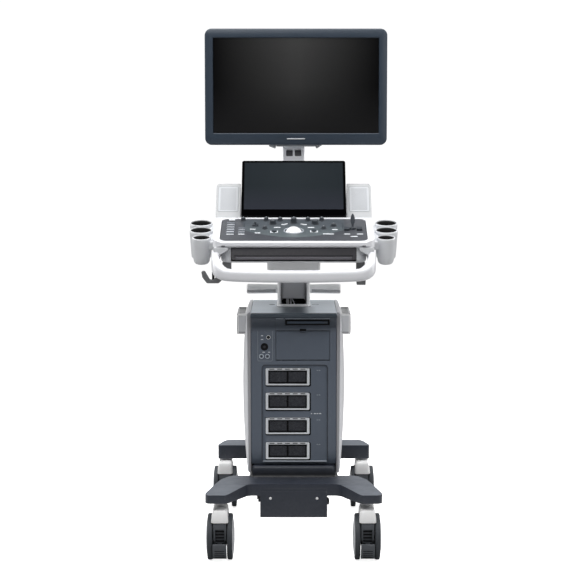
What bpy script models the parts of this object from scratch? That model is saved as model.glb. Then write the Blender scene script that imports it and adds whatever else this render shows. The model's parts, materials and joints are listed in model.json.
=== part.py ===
"""Mobile ultrasound machine on four twin-wheel casters.

Metres, +Z up, the front faces -Y. The origin is on the floor under the middle of the body.
From the floor up: casters, footed base, cabinet with the probe ports, lift column, console
with its sloped control deck, touch panel, probe cups, and a monitor on a jointed arm.
"""

import math

import bmesh
import bpy
from mathutils import Matrix, Vector

GAP = 0.0005  # clearance between neighbouring pieces
WALL = 0.004  # wall of the plastic casings
SHARP = math.radians(35)

# casters
WHEEL_R = 0.0625
WHEEL_HALF = 0.038  # half the width over both wheels
WHEEL_INNER = 0.0195
FORK_HALF = 0.0172
CASTER_TRAIL = 0.020  # the axle stands this far forward of the swivel axis
FRONT_SWIVEL = (0.198, -0.300)
REAR_SWIVEL = (0.208, 0.320)
STEM_R = 0.006
PEDAL_Y = -0.047  # the brake pedal's pivot, from the axle
PEDAL_Z = 0.048
PEDAL_R = 0.0665  # the tread plate is an arc about the axle
PEDAL_THICK = 0.006
PEDAL_ARC = (math.radians(186), math.radians(231))
PEDAL_FACES = 5

# base
BASE_TOP = 0.190
BASE_UNDER = 0.158
REAR_UNDER = 0.149
LEG_START = -0.250  # forward of here the legs slope down
LEG_END = -0.366
LEG_DROP = 0.005
LEG_RISE = 0.004  # the legs thin towards their ends, from below as well
BASE_REAR = 0.3826
PLINTH_TOP = 0.222
PLINTH_HALF = 0.1175
COVER_WALL = 0.006

# cabinet
BODY_HALF = 0.1185
BODY_BOTTOM = 0.224
BODY_TOP = 0.652
LID_UNDER = 0.640
BODY_REAR = 0.1695
FRONT_FACE = -0.1525
CHASSIS_HALF = 0.115
CHASSIS_FRONT = -0.128
CHASSIS_REAR = 0.150
PORT_LEFT, PORT_RIGHT = -0.0777, 0.0438
PORT_ROWS = ((0.4475, 0.4952), (0.3787, 0.4262), (0.3104, 0.3559), (0.2397, 0.2867))
FAN_Z = 0.530
FAN_R = 0.042

# column
SHROUD_HALF = 0.046
CHANNEL_HALF = 0.0325
MAST_HALF = 0.029
MAST_Y = (0.002, 0.058)
HEAD_TOP = 0.797

# console
CONSOLE_HALF = 0.2165
CONSOLE_UNDER = 0.8425
CONSOLE_REAR = 0.200
TUB_UNDER = 0.8005
SWIVEL_Y = 0.030
DECK_ORIGIN = Vector((0.0, -0.300, 0.857))
DECK_SLOPE = math.atan(0.25)
DECK_HALF = 0.1955
DECK_NEAR, DECK_FAR = 0.010, 0.2065  # distances up the slope from DECK_ORIGIN
DRAWER_HALF = 0.166
BALL_R = 0.025
BALL_SINK = 0.0128
BALL_PLACE = (0.0, 0.095)
SIDE_INNER = 0.1195  # a side cover's flat inner face
RIM_LOW, RIM_HIGH = 0.1260, 0.1300  # how far out its rim is, at its foot and at its head
SIDE_BULGE = 0.0165
# name, X, distance up the deck, radius and height of each knob that is modelled as a part
KNOBS = (
    ("center_knob", 0.0, 0.1640, 0.0092, 0.0150),
    ("knob_left", -0.0575, 0.1550, 0.0096, 0.0110),
    ("knob_right", 0.0585, 0.1550, 0.0096, 0.0110),
)
# X, distance up the deck, half width, half length and height above the deck
KEYS = {
    "power_button": (-0.1705, 0.1870, 0.0090, 0.0055, 0.0022),
    "freeze_key": (0.1790, 0.1050, 0.0068, 0.0095, 0.0028),
    "print_key": (0.1445, 0.1050, 0.0068, 0.0095, 0.0028),
}
JOYSTICK = (0.1605, 0.1130)
LEAF_HALF = 0.0022  # half the thickness of the joystick's leaf

# touch panel: a plane leaning back from its lower front edge
TOUCH_FOOT = Vector((0.0, -0.090, 0.9138))
TOUCH_LEAN = math.atan2(0.128, 0.149)
TOUCH_HALF = 0.1465
TOUCH_TALL = 0.1966
TOUCH_THICK = 0.016
TOUCH_PIVOT = (0.0, -0.0745, 0.9025)

# probe cups on the right: (distance out, distance back, radius, depth) from the middle cup's rim
CUP_BANK = Vector((0.2545, -0.150, 0.879))
CUP_TILT = math.radians(12)
CUPS = ((-0.0045, -0.0715, 0.0255, 0.074), (0.0, 0.0, 0.0315, 0.083), (0.003, 0.0715, 0.0315, 0.090))
CUP_WALL = 0.0035
HOOK_PIVOT = (0.180, -0.250)

# monitor arm
ARM_Y = 0.150
ELBOW = (0.150, 0.985)  # Y, Z of the link's lower pin
WRIST = (0.240, 1.165)  # Y, Z of the link's upper pin
LINK_HALF = 0.031
TONGUE_HALF = 0.0145
PAN_Y = 0.200
TILT = (0.180, 1.262)  # Y, Z of the monitor's tilt axis
MONITOR_X = 0.0065
MONITOR_HALF = 0.262
MONITOR_BOTTOM, MONITOR_TOP = 1.105, 1.4375
MONITOR_FRONT, MONITOR_BACK = 0.107, 0.130
SCREEN_HALF = 0.2375
SCREEN_BOTTOM, SCREEN_TOP = 1.1397, 1.4105


# ---------------------------------------------------------------- materials


def finish(name, colour, roughness, metallic=0.0):
    made = bpy.data.materials.new(name)
    made.use_nodes = True
    shader = made.node_tree.nodes["Principled BSDF"]
    shader.inputs["Base Color"].default_value = (*colour, 1.0)
    shader.inputs["Roughness"].default_value = roughness
    shader.inputs["Metallic"].default_value = metallic
    made.diffuse_color = (*colour, 1.0)
    return made


def finishes():
    return {
        "base_plastic": finish("base_plastic", (0.030, 0.037, 0.048), 0.42),
        "body_front": finish("body_front", (0.090, 0.105, 0.130), 0.45),
        "body_top": finish("body_top", (0.240, 0.275, 0.310), 0.40),
        "light_shell": finish("light_shell", (0.640, 0.650, 0.670), 0.40),
        "steel": finish("steel", (0.450, 0.460, 0.470), 0.35, 1.0),
        "silver": finish("silver", (0.560, 0.570, 0.590), 0.32, 0.6),
        "sheet": finish("sheet", (0.350, 0.360, 0.370), 0.50, 0.8),
        "dark_plastic": finish("dark_plastic", (0.055, 0.058, 0.064), 0.45),
        "deck": finish("deck", (0.165, 0.180, 0.195), 0.38),
        "drawer": finish("drawer", (0.055, 0.054, 0.060), 0.40),
        "knob": finish("knob", (0.050, 0.058, 0.068), 0.45),
        "white": finish("white", (0.850, 0.850, 0.840), 0.30),
        "bezel": finish("bezel", (0.028, 0.040, 0.052), 0.35),
        "glass": finish("glass", (0.010, 0.010, 0.011), 0.08),
        "tyre": finish("tyre", (0.045, 0.051, 0.058), 0.60),
        "grey_hook": finish("grey_hook", (0.120, 0.120, 0.125), 0.50),
    }


# ---------------------------------------------------------------- shapes


def soften(bm, width, segments=2, least=0.5, where=None):
    """Rounds the edges that turn by more than least radians, and that where() accepts."""
    edges = [
        e for e in bm.edges
        if len(e.link_faces) == 2 and e.calc_face_angle(0.0) > least and (where is None or where(e))
    ]
    bmesh.ops.bevel(
        bm, geom=edges, offset=width, segments=segments, profile=0.5, affect="EDGES", clamp_overlap=True
    )


def box(low, high, round_by=0.0, segments=2, where=None):
    bm = bmesh.new()
    bmesh.ops.create_cube(bm, size=1.0)
    size = [b - a for a, b in zip(low, high)]
    middle = [(a + b) / 2 for a, b in zip(low, high)]
    bmesh.ops.scale(bm, vec=size, verts=bm.verts)
    bmesh.ops.translate(bm, vec=middle, verts=bm.verts)
    if round_by:
        soften(bm, round_by, segments, where=where)
    return bm


def across(axis, pair, along):
    """A point from its two coordinates across an axis, in X, Y, Z order, and its place along it."""
    point = list(pair)
    point.insert("XYZ".index(axis), along)
    return Vector(point)


def prism(outline, axis, low, high, round_by=0.0, segments=2, least=0.5):
    """A solid with this outline across the axis, from low to high along it."""
    bm = bmesh.new()
    face = bm.faces.new([bm.verts.new(across(axis, p, low)) for p in outline])
    made = bmesh.ops.extrude_face_region(bm, geom=[face])["geom"]
    top = [item for item in made if isinstance(item, bmesh.types.BMVert)]
    bmesh.ops.translate(bm, verts=top, vec=across(axis, (0.0, 0.0), high - low))
    bmesh.ops.recalc_face_normals(bm, faces=bm.faces)
    if round_by:
        soften(bm, round_by, segments, least)
    return bm


def fillet(points, radius, steps=2):
    """The outline with each corner turned into an arc. radius is one number, or one for each corner."""
    count = len(points)
    radii = radius if isinstance(radius, (list, tuple)) else [radius] * count
    rounded = []
    for i, corner in enumerate(points):
        here = Vector(corner)
        back = Vector(points[i - 1]) - here
        ahead = Vector(points[(i + 1) % count]) - here
        half = back.angle(ahead) / 2
        reach = min(radii[i] / math.tan(half), 0.48 * back.length, 0.48 * ahead.length)
        if reach < 1e-5 or half > math.radians(88):
            rounded.append(tuple(here))
            continue
        first = here + back.normalized() * reach
        last = here + ahead.normalized() * reach
        centre = here + (back.normalized() + ahead.normalized()).normalized() * reach / math.cos(half)
        spoke_length = (first - centre).length
        for k in range(steps + 1):
            spoke = (first - centre).slerp(last - centre, k / steps).normalized()
            rounded.append(tuple(centre + spoke * spoke_length))
    return rounded


def inset(points, distance):
    """The outline moved inwards by this distance. The points run anticlockwise."""
    moved = []
    count = len(points)
    for i in range(count):
        here = Vector(points[i])
        before = (here - Vector(points[i - 1])).normalized()
        after = (Vector(points[(i + 1) % count]) - here).normalized()
        side = Vector((-before.y, before.x)) + Vector((-after.y, after.x))
        scale = distance / max(0.2, side.normalized().dot(Vector((-before.y, before.x))))
        moved.append(tuple(here + side.normalized() * scale))
    return moved


def mirrored(points):
    """A closed outline from its right-hand half, which runs from the front to the rear."""
    return list(points) + [(-x, y) for x, y in reversed(points)]


def turned(profile, axis="Z", centre=(0.0, 0.0, 0.0), steps=24, ring=False):
    """A turned solid: profile holds (radius, height) points. A ring's profile closes on itself."""
    bm = bmesh.new()
    rows = []
    for radius, height in profile:
        count = 1 if radius < 1e-6 else steps
        row = []
        for k in range(count):
            turn = 2 * math.pi * k / steps
            across_pair = (radius * math.cos(turn), radius * math.sin(turn))
            row.append(bm.verts.new(across(axis, across_pair, height) + Vector(centre)))
        rows.append(row)
    pairs = list(zip(rows, rows[1:])) + ([(rows[-1], rows[0])] if ring else [])
    for a, b in pairs:
        for k in range(steps):
            corners = [a[k % len(a)], a[(k + 1) % len(a)], b[(k + 1) % len(b)], b[k % len(b)]]
            unique = list(dict.fromkeys(corners))
            if len(unique) > 2:
                bm.faces.new(unique)
    bmesh.ops.recalc_face_normals(bm, faces=bm.faces)
    return bm


def rod(radius, axis, low, high, centre=(0.0, 0.0, 0.0), steps=20, chamfer=0.0):
    profile = [(0.0, low), (radius - chamfer, low), (radius, low + chamfer)]
    profile += [(radius, high - chamfer), (radius - chamfer, high), (0.0, high)]
    if not chamfer:
        profile = [(0.0, low), (radius, low), (radius, high), (0.0, high)]
    return turned(profile, axis, centre, steps)


def loft(rings):
    """A solid through rings of equal length, closed by a face at each end."""
    bm = bmesh.new()
    rows = [[bm.verts.new(p) for p in ring] for ring in rings]
    count = len(rows[0])
    for a, b in zip(rows, rows[1:]):
        for k in range(count):
            bm.faces.new([a[k], a[(k + 1) % count], b[(k + 1) % count], b[k]])
    bm.faces.new(rows[0])
    bm.faces.new(list(reversed(rows[-1])))
    bmesh.ops.recalc_face_normals(bm, faces=bm.faces)
    return bm


def slice_at(bm, axis, places):
    """Adds a loop of edges across the mesh at each place along the axis."""
    for place in places:
        point = across(axis, (0.0, 0.0), place)
        normal = across(axis, (0.0, 0.0), 1.0)
        every = list(bm.verts) + list(bm.edges) + list(bm.faces)
        bmesh.ops.bisect_plane(bm, geom=every, plane_co=point, plane_no=normal)


def put(name, bm, look, origin=(0.0, 0.0, 0.0), frame=None):
    """An object from a mesh in world coordinates, or in the coordinates of frame, with this origin."""
    if frame is not None:
        bmesh.ops.transform(bm, matrix=frame, verts=bm.verts)
    bmesh.ops.translate(bm, verts=bm.verts, vec=-Vector(origin))
    mesh = bpy.data.meshes.new(name)
    bm.to_mesh(mesh)
    bm.free()
    mesh.materials.append(look)
    made = bpy.data.objects.new(name, mesh)
    made.location = origin
    bpy.context.scene.collection.objects.link(made)
    shade(made)
    return made


def shade(obj):
    obj.data.shade_smooth()
    obj.data.set_sharp_from_angle(angle=SHARP)


def combine(obj, operation, tools, frame=None):
    """Applies one Boolean for each tool mesh, which is in world coordinates or in those of frame."""
    look = obj.data.materials[0]
    for tool in tools:
        helper = put("tool", tool, look, frame=frame)
        modifier = obj.modifiers.new("combine", "BOOLEAN")
        modifier.operation = operation
        modifier.object = helper
        bpy.context.view_layer.update()
        graph = bpy.context.evaluated_depsgraph_get()
        made = bpy.data.meshes.new_from_object(obj.evaluated_get(graph))
        obj.modifiers.clear()
        obj.data = made
        bpy.data.objects.remove(helper)
    obj.data.materials.clear()
    obj.data.materials.append(look)
    obj.data.name = obj.name
    shade(obj)
    return obj


def cut(obj, *tools, frame=None):
    return combine(obj, "DIFFERENCE", tools, frame)


def join(obj, *tools, frame=None):
    return combine(obj, "UNION", tools, frame)


# ---------------------------------------------------------------- base and casters


def base_half_outline():
    return [
        (0.125, -0.252), (0.172, -0.350), (0.183, LEG_END), (0.229, LEG_END), (0.2380, -0.350),
        (0.2235, -0.289), (0.2015, -0.188), (0.178, -0.146), (0.165, -0.139), (0.118, -0.139),
        (0.118, 0.292), (0.229, 0.292), (0.2305, 0.305), (0.2146, 0.362), (0.204, BASE_REAR),
    ]


def leg_drop(y):
    return LEG_DROP * max(0.0, (LEG_START - y) / (LEG_START - LEG_END))


def under_base(y):
    """Height of the cover's lower edge: it rises a little along the legs, and drops at the rear bar."""
    rear = min(1.0, max(0.0, (y - 0.250) / 0.040))
    return BASE_UNDER + leg_drop(y) * LEG_RISE / LEG_DROP - (BASE_UNDER - REAR_UNDER) * rear


def slab(outline, floor, ceiling, round_top=0.0):
    """A plate between two height functions of Y."""
    bm = prism(outline, "Z", 0.0, 1.0)
    slice_at(bm, "Y", (LEG_START, 0.250, 0.291))
    tops = [v for v in bm.verts if v.co.z > 0.5]
    for vert in bm.verts:
        vert.co.z = ceiling(vert.co.y) if vert in tops else floor(vert.co.y)
    if round_top:
        keep = set(tops)
        soften(bm, round_top, 2, 0.9, lambda e: e.verts[0] in keep and e.verts[1] in keep)
    return bm


def base_cover(looks):
    outline = mirrored(base_half_outline())
    skin = slab(fillet(outline, 0.009), under_base, lambda y: BASE_TOP - leg_drop(y), 0.006)
    shell = put("base_cover", skin, looks["base_plastic"])
    plinth = box((-PLINTH_HALF, -0.158, BASE_TOP - 0.008), (PLINTH_HALF, 0.1705, PLINTH_TOP), 0.008, 2)
    join(shell, plinth)
    ceiling = BASE_TOP - COVER_WALL
    pocket = slab(fillet(inset(outline, 0.005), 0.006, 1), lambda y: 0.100, lambda y: ceiling - leg_drop(y))
    return cut(shell, pocket)


def swivels():
    """Name, X and Y of the four swivel axes."""
    for end, (x, y) in (("front", FRONT_SWIVEL), ("rear", REAR_SWIVEL)):
        for side, sign in (("left", -1), ("right", 1)):
            yield f"{end}_{side}", sign * x, y


def base_frame(looks):
    outline = fillet(inset(mirrored(base_half_outline()), 0.0062), 0.006, 1)
    plate = slab(outline, lambda y: 0.168 - leg_drop(y), lambda y: 0.1832 - leg_drop(y))
    frame = put("base_frame", plate, looks["steel"])
    bores = [rod(STEM_R + GAP, "Z", 0.10, 0.20, (x, y, 0.0), 12) for _, x, y in swivels()]
    windows = [box((-0.070, low, 0.10), (0.070, low + 0.10, 0.20), 0.0) for low in (-0.12, 0.02, 0.16)]
    return cut(frame, *bores, *windows)


def power_module(looks):
    block = put("power_module", box((-0.0918, -0.2465, 0.098), (0.0918, 0.120, 0.1655), 0.0015, 1),
                looks["base_plastic"])
    connector = box((-0.1012, -0.215, 0.128), (-0.090, -0.050, 0.160), 0.001, 1)
    breaker = box((0.090, -0.235, 0.128), (0.0980, -0.195, 0.142), 0.001, 1)
    return join(block, connector, breaker)


def wheel_profile():
    """Half of the twin wheel, from its outer face in to the axle, as (radius, distance along the axle)."""
    outer = WHEEL_HALF
    return [
        (0.0, outer - 0.003), (0.046, outer), (0.056, outer), (WHEEL_R - 0.0015, outer - 0.0055),
        (WHEEL_R, outer - 0.010), (WHEEL_R - 0.004, WHEEL_INNER), (0.0055, WHEEL_INNER - 0.001),
    ]


def caster(name, x, y, looks):
    axle = (x, y - CASTER_TRAIL, WHEEL_R)
    half = wheel_profile()
    profile = half + [(r, -d) for r, d in reversed(half)]
    put(f"caster_wheels_{name}", turned(profile, "X", axle, 20), looks["tyre"], axle)
    side = fillet(
        [(y - 0.066, 0.062), (y - 0.050, 0.040), (y - 0.012, 0.040), (y + 0.026, 0.096), (y + 0.026, 0.127),
         (y - 0.060, 0.127), (y - 0.068, 0.100)],
        0.006, 1,
    )
    cheeks = prism(side, "X", x - FORK_HALF, x + FORK_HALF, 0.002, 1)
    fork = put(f"caster_fork_{name}", cheeks, looks["light_shell"], (x, y, 0.0))
    cap = box((x - 0.0230, y - 0.062, 0.1258), (x + 0.0230, y + 0.028, 0.1440), 0.005, 1)
    top = under_base(y)
    collar = rod(0.017, "Z", 0.140, top - 0.0015, (x, y, 0.0), 14)
    stem = rod(STEM_R, "Z", 0.140, 0.1670 + 0.010 - leg_drop(y), (x, y, 0.0), 10)
    visor = box((x - 0.0230, y - 0.070, 0.1105), (x + 0.0230, y - 0.061, 0.1430), 0.003, 1)
    join(fork, cap, visor, collar, stem)
    cut(fork, rod(0.0062, "X", x - 0.03, x + 0.03, (0.0, axle[1], axle[2]), 12))


def brake_pedal(name, x, y, looks):
    """A curved tread plate on a cross pin, in front of the fork and between the wheels."""
    axle_y = y - CASTER_TRAIL
    pivot = (x, axle_y + PEDAL_Y, PEDAL_Z)
    outer, inner = [], []
    for k in range(PEDAL_FACES + 1):
        turn = PEDAL_ARC[0] + (PEDAL_ARC[1] - PEDAL_ARC[0]) * k / PEDAL_FACES
        for side, radius in ((outer, PEDAL_R), (inner, PEDAL_R - PEDAL_THICK)):
            side.append((axle_y + radius * math.cos(turn), WHEEL_R + radius * math.sin(turn)))
    plate = put(f"brake_pedal_{name}", prism(outer + inner[::-1], "X", x - 0.0165, x + 0.0165, 0.001, 1),
                looks["dark_plastic"], pivot)
    lug = fillet([(axle_y - 0.060, 0.040), (axle_y - 0.052, 0.034), (axle_y - 0.043, 0.044),
                  (axle_y - 0.046, 0.055), (axle_y - 0.056, 0.052)], 0.003, 2)
    return join(plate, prism(lug, "X", x - 0.006, x + 0.006))


def casters(looks):
    for name, x, y in swivels():
        caster(name, x, y, looks)
        if name.startswith("front"):
            brake_pedal(name[6:], x, y, looks)
            fork = bpy.data.objects[f"caster_fork_{name}"]
            slot = box((x - 0.0068, y - 0.090, 0.020), (x + 0.0068, y - 0.0590, 0.066))
            cut(fork, slot)


# ---------------------------------------------------------------- cabinet


def body_chassis(looks):
    """A sheet-metal box, open at the front, with holes for the mast and the fan."""
    chassis = put(
        "body_chassis",
        box((-CHASSIS_HALF, CHASSIS_FRONT, BODY_BOTTOM - 0.001), (CHASSIS_HALF, CHASSIS_REAR, 0.6385)),
        looks["sheet"],
    )
    inside = box((-0.112, CHASSIS_FRONT - 0.02, 0.2265), (0.112, CHASSIS_REAR - 0.003, 0.6355))
    fan_hole = rod(FAN_R + 0.003, "Y", 0.140, 0.160, (0.0, 0.0, FAN_Z), 28)
    return cut(chassis, inside, mast_hole(), fan_hole)


def mast_hole():
    return box((-0.0355, -0.0180, 0.600), (0.0355, 0.0680, 0.700))


def front_profile():
    """The front cover from its tucked-in foot up to the overhanging lip, as (Y, Z)."""
    return [
        (-0.1400, BODY_BOTTOM), (-0.1480, 0.2420), (-0.1518, 0.2650), (FRONT_FACE, 0.3000),
        (FRONT_FACE, 0.6010), (-0.1560, 0.6080), (-0.1650, 0.6170), (-0.1770, 0.6290), (-0.1825, 0.6395),
    ]


def front_cover(looks):
    outer = front_profile()
    inner = [(y + WALL, z) for y, z in reversed(outer)]
    shell = put("front_cover", prism(outer + inner, "X", -BODY_HALF, BODY_HALF), looks["body_front"])
    port_window = box((-0.0890, -0.20, 0.2300), (0.0950, -0.10, 0.5050), 0.006, 2, lies_along_y)
    bay = box((-0.0500, -0.20, 0.5165), (0.1000, -0.10, 0.6005))
    drive_slot = box((-0.0240, -0.20, 0.6172), (0.0992, -0.10, 0.6346))
    return cut(shell, port_window, bay, drive_slot)


def lies_along_y(edge):
    a, b = edge.verts
    return abs(a.co.y - b.co.y) > 0.9 * (a.co - b.co).length


def top_cover(looks):
    profile = [
        (-0.1825, LID_UNDER), (-0.1855, 0.6445), (-0.1830, 0.6495), (-0.1760, BODY_TOP),
        (0.1580, BODY_TOP), (0.1670, 0.6485), (BODY_REAR, LID_UNDER),
    ]
    lid = put("top_cover", prism(profile, "X", -BODY_HALF, BODY_HALF), looks["body_top"])
    return cut(lid, mast_hole())


def side_face(y, z):
    """How far out a side cover's face is: least at its rim, most in the middle of its height."""
    up = min(1.0, max(0.0, (z - 0.170) / (BODY_TOP - 0.170)))
    along = min(1.0, max(0.0, (y + 0.150) / (0.168 + 0.150)))
    rim = RIM_LOW + (RIM_HIGH - RIM_LOW) * up
    return rim + SIDE_BULGE * (math.sin(math.pi * up) * math.sin(math.pi * along)) ** 0.6


def side_shell(sign, grow, wall):
    """The solid between a side cover's outer face, moved out by grow, and one that lies wall inside."""
    heights = [0.2005 + (0.6515 - 0.2005) * k / 9 for k in range(10)]
    depths = [-0.150 + 0.318 * k / 9 for k in range(10)]
    rings = []
    for z in heights:
        outer = [(sign * (side_face(y, z) + grow), y, z) for y in depths]
        inner = [(sign * max(SIDE_INNER, side_face(y, z) - wall), y, z) for y in reversed(depths)]
        rings.append(outer + inner)
    return loft(rings)


def side_cover(name, sign, looks):
    """A bulging shell, hollow towards the chassis."""
    return put(name, side_shell(sign, 0.0, 0.0045), looks["light_shell"])


def rear_cover(looks):
    """The back panel, with a round grille for the fan and rows of vents below it."""
    low, high = (-BODY_HALF, 0.1515, BODY_BOTTOM), (BODY_HALF, BODY_REAR, LID_UNDER - GAP)
    panel = put("rear_cover", box(low, high, 0.004, 2, lambda e: min(v.co.y for v in e.verts) > 0.169),
                looks["body_front"])
    pocket = box((-0.1145, 0.14, 0.2280), (0.1145, BODY_REAR - WALL, 0.6355))
    cut(panel, pocket)
    slots = []
    for k in range(12):
        turn = Matrix.Translation((0.0, 0.0, FAN_Z)) @ Matrix.Rotation(math.radians(30 * k), 4, "Y")
        slot = box((0.014, 0.150, -0.0035), (0.041, 0.190, 0.0035))
        bmesh.ops.transform(slot, matrix=turn, verts=slot.verts)
        slots.append(slot)
    slots += [box((-0.075, 0.150, 0.270 + 0.022 * k), (0.075, 0.190, 0.278 + 0.022 * k)) for k in range(7)]
    return cut(panel, *slots)


def port_panel(looks):
    sheet = box((-0.0880, -0.1490, 0.2310), (0.0940, -0.1450, 0.5040), 0.0055, 2, lies_along_y)
    panel = put("port_panel", sheet, looks["body_front"])
    openings = [
        box((PORT_LEFT - 0.0008, -0.16, low - 0.0008), (PORT_RIGHT + 0.0008, -0.13, high + 0.0008))
        for low, high in PORT_ROWS
    ]
    return cut(panel, *openings)


def probe_ports(looks):
    """Four sockets, each a silver frame around a recessed contact block."""
    for number, (low, high) in enumerate(PORT_ROWS, 1):
        block = box((PORT_LEFT, -0.1535, low), (PORT_RIGHT, -0.1250, high), 0.002, 1, lies_along_y)
        port = put(f"probe_port_{number}", block, looks["silver"])
        recess = box((PORT_LEFT + 0.007, -0.16, low + 0.004), (PORT_RIGHT - 0.007, -0.1470, high - 0.006))
        cut(port, recess)


def electronics_unit(looks):
    """The card cage behind the ports: a block with open slots between its boards."""
    cage = put("electronics_unit", box((-0.100, -0.120, 0.2350), (0.100, -0.0300, 0.5050), 0.002, 1),
               looks["sheet"])
    slots = [box((-0.090, -0.090, 0.258 + 0.030 * k), (0.090, -0.020, 0.272 + 0.030 * k)) for k in range(8)]
    return cut(cage, *slots)


def drive_unit(looks):
    housing = put("drive_unit", box((-0.0262, -0.1500, 0.6125), (0.1010, -0.0300, 0.6350)), looks["sheet"])
    return cut(housing, box((-0.0225, -0.1600, 0.6160), (0.0972, -0.0360, 0.6330)))


def drive_tray(looks):
    bezel = box((-0.0232, -0.1770, 0.6180), (0.0984, -0.1700, 0.6338), 0.0012, 1)
    tray = put("drive_tray", bezel, looks["dark_plastic"])
    plate = box((-0.0210, -0.1710, 0.6185), (0.0957, -0.0500, 0.6250))
    return join(tray, plate)


def bay_door(looks):
    door = box((-0.0490, FRONT_FACE, 0.5190), (0.0990, FRONT_FACE + 0.0032, 0.5985), 0.0010, 1)
    made = put("bay_door", door, looks["body_front"], (0.0, -0.1505, 0.5205))
    return cut(made, box((0.0170, -0.160, 0.5935), (0.0345, -0.1505, 0.6100)))


def side_tray(name, sign, looks):
    """A shallow open box that fits against the side cover, near its top."""
    xs = sorted((sign * 0.1300, sign * 0.1592))
    tray = put(name, box((xs[0], -0.1050, 0.5830), (xs[1], 0.0680, 0.6405), 0.003, 2), looks["light_shell"])
    hollow = sorted((sign * 0.1435, sign * 0.1557))
    well = box((hollow[0], -0.1000, 0.6220), (hollow[1], 0.0630, 0.6500))
    return cut(tray, well, side_shell(sign, 3 * GAP, 1.0))


def fan_rotor(looks):
    hub = put("fan_rotor", rod(0.0135, "Y", 0.1540, 0.1640, (0.0, 0.0, FAN_Z), 14), looks["dark_plastic"],
              (0.0, 0.1590, FAN_Z))
    blades = []
    for k in range(7):
        blade = box((0.011, -0.0085, -0.0009), (FAN_R - 0.002, 0.0085, 0.0009))
        pitch = Matrix.Rotation(math.radians(58), 4, "X")
        spin = Matrix.Rotation(2 * math.pi * k / 7, 4, "Y")
        place = Matrix.Translation((0.0, 0.1590, FAN_Z)) @ spin @ pitch
        bmesh.ops.transform(blade, matrix=place, verts=blade.verts)
        blades.append(blade)
    return join(hub, *blades)


# ---------------------------------------------------------------- lift column


def column_shroud(looks):
    """A channel open to the front, on a ring that closes round the mast."""
    half = SHROUD_HALF
    section = [(half, -0.030), (half, 0.088), (-half, 0.088), (-half, -0.030)]
    outer = fillet(section, [0.006, 0.018, 0.018, 0.006], 4)
    shroud = put("column_shroud", prism(outer, "Z", BODY_TOP + GAP, 0.745), looks["silver"])
    cut(shroud, box((-CHANNEL_HALF, -0.05, 0.640), (CHANNEL_HALF, 0.0745, 0.760)))
    ring = prism(fillet([(0.050, -0.040), (0.050, 0.094), (-0.050, 0.094), (-0.050, -0.040)],
                        [0.014, 0.02, 0.02, 0.014], 4), "Z", BODY_TOP + GAP, 0.6600, 0.002, 1)
    join(shroud, ring)
    return cut(shroud, box((-CHANNEL_HALF, -0.0280, 0.640), (CHANNEL_HALF, 0.0745, 0.670)))


def rear_handle(looks):
    """A cross bar behind the column, on two lugs."""
    centre = (0.0, 0.1080, 0.6890)
    profile = [(0.0, -0.1366), (0.010, -0.1366), (0.0135, -0.1345), (0.0145, -0.130)]
    profile += [(r, -d) for r, d in reversed(profile)]
    bar = put("rear_handle", turned(profile, "X", centre, 16), looks["silver"])
    lugs = [box((x - 0.005, 0.0890, 0.680), (x + 0.005, 0.1050, 0.698)) for x in (-0.038, 0.038)]
    return join(bar, *lugs)


def lift(looks):
    """The gas spring inside the mast, and the mast that carries the console."""
    bore = STEM_R + 0.0002
    centre = (0.0, SWIVEL_Y, 0.0)
    foot, mouth, floor = 0.2272, 0.545, 0.240
    profile = [(0.0, foot), (0.014, foot), (0.014, mouth), (bore, mouth), (bore, floor), (0.0, floor)]
    put("lift_cylinder", turned(profile, "Z", centre, 20), looks["dark_plastic"])
    put("lift_rod", rod(0.0055, "Z", 0.330, 0.7744, centre, 16), looks["steel"])
    tube = box((-MAST_HALF, MAST_Y[0], 0.400), (MAST_HALF, MAST_Y[1], 0.786))
    mast = put("lift_mast", tube, looks["silver"])
    head = box((-0.075, -0.045, 0.757), (0.075, 0.105, HEAD_TOP), 0.004, 2)
    cover = box((-0.0305, -0.0140, 0.678), (0.0305, 0.0042, 0.7840), 0.0015, 1, lies_along_z)
    join(mast, head, cover)
    cut(mast, box((-0.025, 0.006, 0.390), (0.025, 0.054, 0.775)))


# ---------------------------------------------------------------- console


def deck_frame():
    """Coordinates of the sloped deck: X across, Y up the slope, Z out of the surface."""
    return Matrix.Translation(DECK_ORIGIN) @ Matrix.Rotation(DECK_SLOPE, 4, "X")


def console_outline():
    """The console's section, as (Y, Z): lip, sloped deck, trough for the touch panel, arm platform."""
    return [
        (CONSOLE_REAR, CONSOLE_UNDER), (CONSOLE_REAR, 0.910), (0.185, 0.925), (0.070, 0.925), (0.020, 0.893),
        (-0.0945, 0.893), (-0.0955, 0.9096), (-0.2990, 0.8590), (-0.3045, 0.8560), (-0.3040, 0.8470),
        (-0.2960, CONSOLE_UNDER),
    ]


def console_plan():
    corners = [(CONSOLE_HALF, -0.3045), (CONSOLE_HALF, CONSOLE_REAR), (-CONSOLE_HALF, CONSOLE_REAR),
               (-CONSOLE_HALF, -0.3045)]
    return fillet(corners, [0.028, 0.040, 0.040, 0.028], 4)


def speaker_wing(sign):
    """A leaning wedge beside the touch panel, with rounded upper corners."""
    side = [(-0.0700, 0.8850), (0.0275, 0.9955), (0.0330, 0.9975), (0.0400, 0.9950), (0.0850, 0.9230),
            (0.0850, 0.8850)]
    inner, outer = sorted((sign * 0.1500, sign * 0.2190))
    wedge = put("wing", prism(side, "X", inner, outer), bpy.data.materials["light_shell"])
    low, high = 0.870, 0.9976
    corners = [(inner, low), (outer, low), (outer, high), (inner, high)]
    front = fillet(corners, [0.001, 0.001, 0.012, 0.012], 4)
    combine(wedge, "INTERSECT", [prism(front, "Y", -0.10, 0.12)])
    bm = bmesh.new()
    bm.from_mesh(wedge.data)
    bpy.data.objects.remove(wedge)
    return bm


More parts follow.
